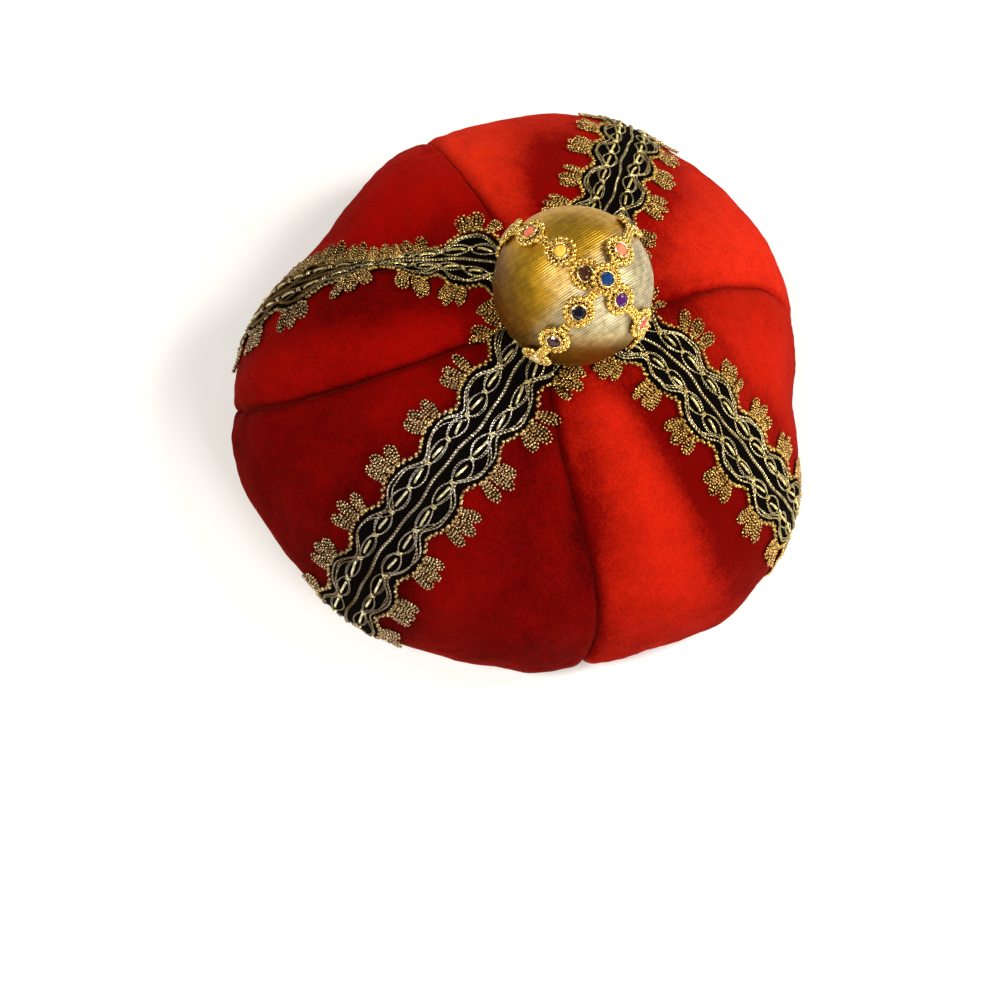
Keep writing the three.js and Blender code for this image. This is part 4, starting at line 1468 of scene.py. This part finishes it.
def stage():
    """A pale floor that glows toward its far parts"""
    floor_material, tree, surface = new_material("floor")
    grain = use_group(tree, GRAIN, Coarse=3.0, Fine=40.0)
    colour = blend_colours(tree, grain["Patches"], (0.87, 0.88, 0.89), (0.89, 0.90, 0.91))
    away = put(tree, "ShaderNodeVectorMath", {"operation": "LENGTH"})
    tree.links.new(put(tree, "ShaderNodeTexCoord").outputs["Object"], away.inputs[0])
    glow = ramp(tree, away.outputs["Value"], 0.45, 2.2)
    glow = blend_colours(tree, glow, (0.16, 0.16, 0.16), (0.85, 0.85, 0.85))
    finish_surface(tree, surface, {"Base Color": colour, "Emission Color": glow},
                   Roughness=0.9, Emission_Strength=1.0)
    signs = np.array([(-1, -1), (1, -1), (1, 1), (-1, 1)])
    corners = np.column_stack([signs * FLOOR_HALF, np.full(4, FLOOR_HEIGHT)])
    mesh_object("floor", corners, np.array([(0, 1, 2, 3)]), [floor_material])


def light(name, place, aim, size, power, colour):
    """A square lamp at a place, turned to where it aims"""
    lamp = bpy.data.lights.new(name, "AREA")
    lamp.size = size
    lamp.energy = power
    lamp.color = colour
    made = bpy.data.objects.new(name, lamp)
    made.location = place
    made.rotation_euler = (Vector(aim) - Vector(place)).to_track_quat("-Z", "Y").to_euler()
    bpy.context.scene.collection.objects.link(made)


def lights():
    """Three lamps and a dim sky, which the camera sees as white"""
    middle = (AXIS_X, AXIS_Y, 0.05)
    light("overhead", (-0.40, -0.54, 1.1), middle, 0.25, 10, (1.0, 0.94, 0.84))
    light("right_back", (0.75, 0.55, 1.0), middle, 0.5, 13, (1.0, 0.95, 0.88))
    light("cool_side", (0.85, -0.53, 0.68), middle, 0.45, 7, (1.0, 0.98, 0.94))
    world = bpy.data.worlds.new("studio")
    bpy.context.scene.world = world
    world.use_nodes = True
    tree = world.node_tree
    soft = tree.nodes["Background"]
    soft.inputs["Color"].default_value = (1, 0.98, 0.95, 1)
    soft.inputs["Strength"].default_value = 0.15
    pale = put(tree, "ShaderNodeBackground", Color=(1, 1, 1, 1), Strength=1.0)
    seen = put(tree, "ShaderNodeLightPath").outputs["Is Camera Ray"]
    mixed = put(tree, "ShaderNodeMixShader", Fac=seen)
    tree.links.new(soft.outputs["Background"], mixed.inputs[1])
    tree.links.new(pale.outputs["Background"], mixed.inputs[2])
    tree.links.new(mixed.outputs["Shader"], tree.nodes["World Output"].inputs["Surface"])
    bpy.context.scene.view_settings.view_transform = "Standard"


def camera():
    """A camera where the photograph's was, as worked out from the picture"""
    lens = bpy.data.cameras.new("camera")
    lens.lens = CAMERA_LENS
    lens.sensor_width = 36
    lens.shift_x, lens.shift_y = CAMERA_SHIFT
    lens.clip_start, lens.clip_end = 0.01, 20
    made = bpy.data.objects.new("camera", lens)
    back = Vector((0, -math.cos(CAMERA_ELEVATION), math.sin(CAMERA_ELEVATION)))
    aim = Vector((AXIS_X, AXIS_Y, CAMERA_AIM_HEIGHT))
    made.location = aim + back * CAMERA_DISTANCE
    level = (-back).to_track_quat("-Z", "Y").to_matrix()
    made.rotation_euler = (level @ Matrix.Rotation(CAMERA_ROLL, 3, "Z")).to_euler()
    bpy.context.scene.collection.objects.link(made)
    bpy.context.scene.camera = made


# Assembly

def velvet(braid_lines):
    """The four gores, in the order of the seams that they start at"""
    backing = backing_material()
    # Each gore takes a lit or a shaded copy of one red: painted light and shade, lightest at the back,
    # darkest at the front
    lit_and_shaded_reds = {
        "right": ((0.13, 0.0006, 0.0002), (0.66, 0.017, 0.004)),
        "back": ((0.22, 0.0010, 0.0004), (0.92, 0.034, 0.009)),
        "left": ((0.08, 0.0002, 0.0001), (0.42, 0.003, 0.001)),
        "front": ((0.05, 0.0001, 0.0001), (0.31, 0.002, 0.0007)),
    }
    for k, (name, (deep, bright)) in enumerate(lit_and_shaded_reds.items()):
        red = velvet_material("velvet_" + name, deep, bright)
        velvet_gore("velvet_cloth_" + name, k, "velvet_gore_" + name, [red, backing], braid_lines)


def braids(strips):
    """Ground, cords, ovals, bars, edge and picots of both braids"""
    ground = ground_material()
    cord = thread_material(
        "gilt_cord", (0.13, 0.10, 0.055), (1.0, 0.92, 0.76), 0.14, 0.0016, 0.6, 0.8)
    pale = thread_material(
        "pale_gilt_thread", (0.13, 0.11, 0.07), (1.0, 0.95, 0.84), 0.14, 0.0012, 0.55, 0.78)
    bar = thread_material(
        "bright_gilt_bar", (0.7, 0.56, 0.26), (1.0, 0.96, 0.68), 0.12, 0.004, 0.15, 0.6)
    purl = bead_material("gilt_purl", (0.20, 0.085, 0.025), (1.0, 0.75, 0.41), 0.13, 0.3, 0.75)
    crimped = bead_material("crimped_gilt", (0.16, 0.08, 0.02), (1.0, 0.76, 0.34), 0.16, 0.35, 0.75)
    core = thread_material("picot_core", (0.008, 0.003, 0.001), (0.05, 0.02, 0.006), 0.5, 0.0016)
    for name, strip in strips.items():
        braid_ground("ground_" + name, strip, "braid_" + name, ground)
        braid_cords("cords_" + name, strip, cord)
        braid_ovals("ovals_" + name, strip, pale)
        braid_bars("bars_" + name, strip, bar)
        braid_edge("edge_" + name, strip, crimped)
        braid_picots("picots_" + name, strip, purl, core)


def trim():
    """Both jewelled strips, without their stones"""
    gilt = bead_material("gilt_bead", (0.62, 0.36, 0.06), (1.0, 0.74, 0.22), 0.13)
    wire = thread_material("gilt_wire", (0.6, 0.36, 0.08), (1.0, 0.76, 0.3), 0.16, 0.002)
    collet = thread_material("bright_collet", (0.7, 0.5, 0.18), (1.0, 0.86, 0.48), 0.12, 0.004)
    # Dark gilt for the floors: painted shadow under the rings
    shadow_floor_gilt = thread_material("painted_shadow_gilt", (0.06, 0.02, 0.006), (0.2, 0.09, 0.02), 0.45, 0.003)
    jewel_trim("side_to_side", SIDE_RINGS, gilt, wire, collet, shadow_floor_gilt)
    jewel_trim("front_to_back", FRONT_RINGS, gilt, wire, collet, shadow_floor_gilt)


# Stones: body colour, colour of a painted flash, and whether it is milky
STONE_KINDS = {
    "stone_champagne": ((0.45, 0.32, 0.1), (0.9, 0.78, 0.4), False),
    "stone_topaz": ((0.35, 0.12, 0.01), (0.85, 0.42, 0.06), False),
    "stone_coral": ((0.75, 0.13, 0.05), (0.9, 0.27, 0.13), True),
    "stone_amber": ((0.8, 0.4, 0.02), (1.0, 0.66, 0.10), True),
    "stone_brown": ((0.03, 0.006, 0.002), (0.12, 0.035, 0.01), False),
    "stone_purple": ((0.03, 0.003, 0.06), (0.11, 0.012, 0.16), False),
    "stone_red": ((0.35, 0.02, 0.006), (0.75, 0.10, 0.03), False),
    "stone_green": ((0.003, 0.015, 0.006), (0.02, 0.08, 0.03), False),
    "stone_blue": ((0.003, 0.012, 0.05), (0.012, 0.07, 0.26), False),
    "stone_black": ((0.003, 0.002, 0.006), (0.010, 0.006, 0.02), False),
    "stone_garnet": ((0.015, 0.001, 0.003), (0.07, 0.004, 0.008), False),
}


def stones():
    """A stone in each ring; the last word of its name is its kind"""
    made = {name: stone_material(name, *look) for name, look in STONE_KINDS.items()}
    for row in (*SIDE_RINGS, *FRONT_RINGS):
        kind = row[3].split("_")[1].replace("clear", "champagne")
        cut_stone(row, made["stone_" + kind], "stone_" + kind)


def build():
    camera()
    stage()
    lights()
    strips = {
        "side_to_side": Strip(SIDE_TO_SIDE, False),
        "front_to_back": Strip(FRONT_TO_BACK, True),
    }
    velvet([strip.line for strip in strips.values()])
    braids(strips)
    covered_ball(ball_cloth_material())
    trim()
    stones()


build()
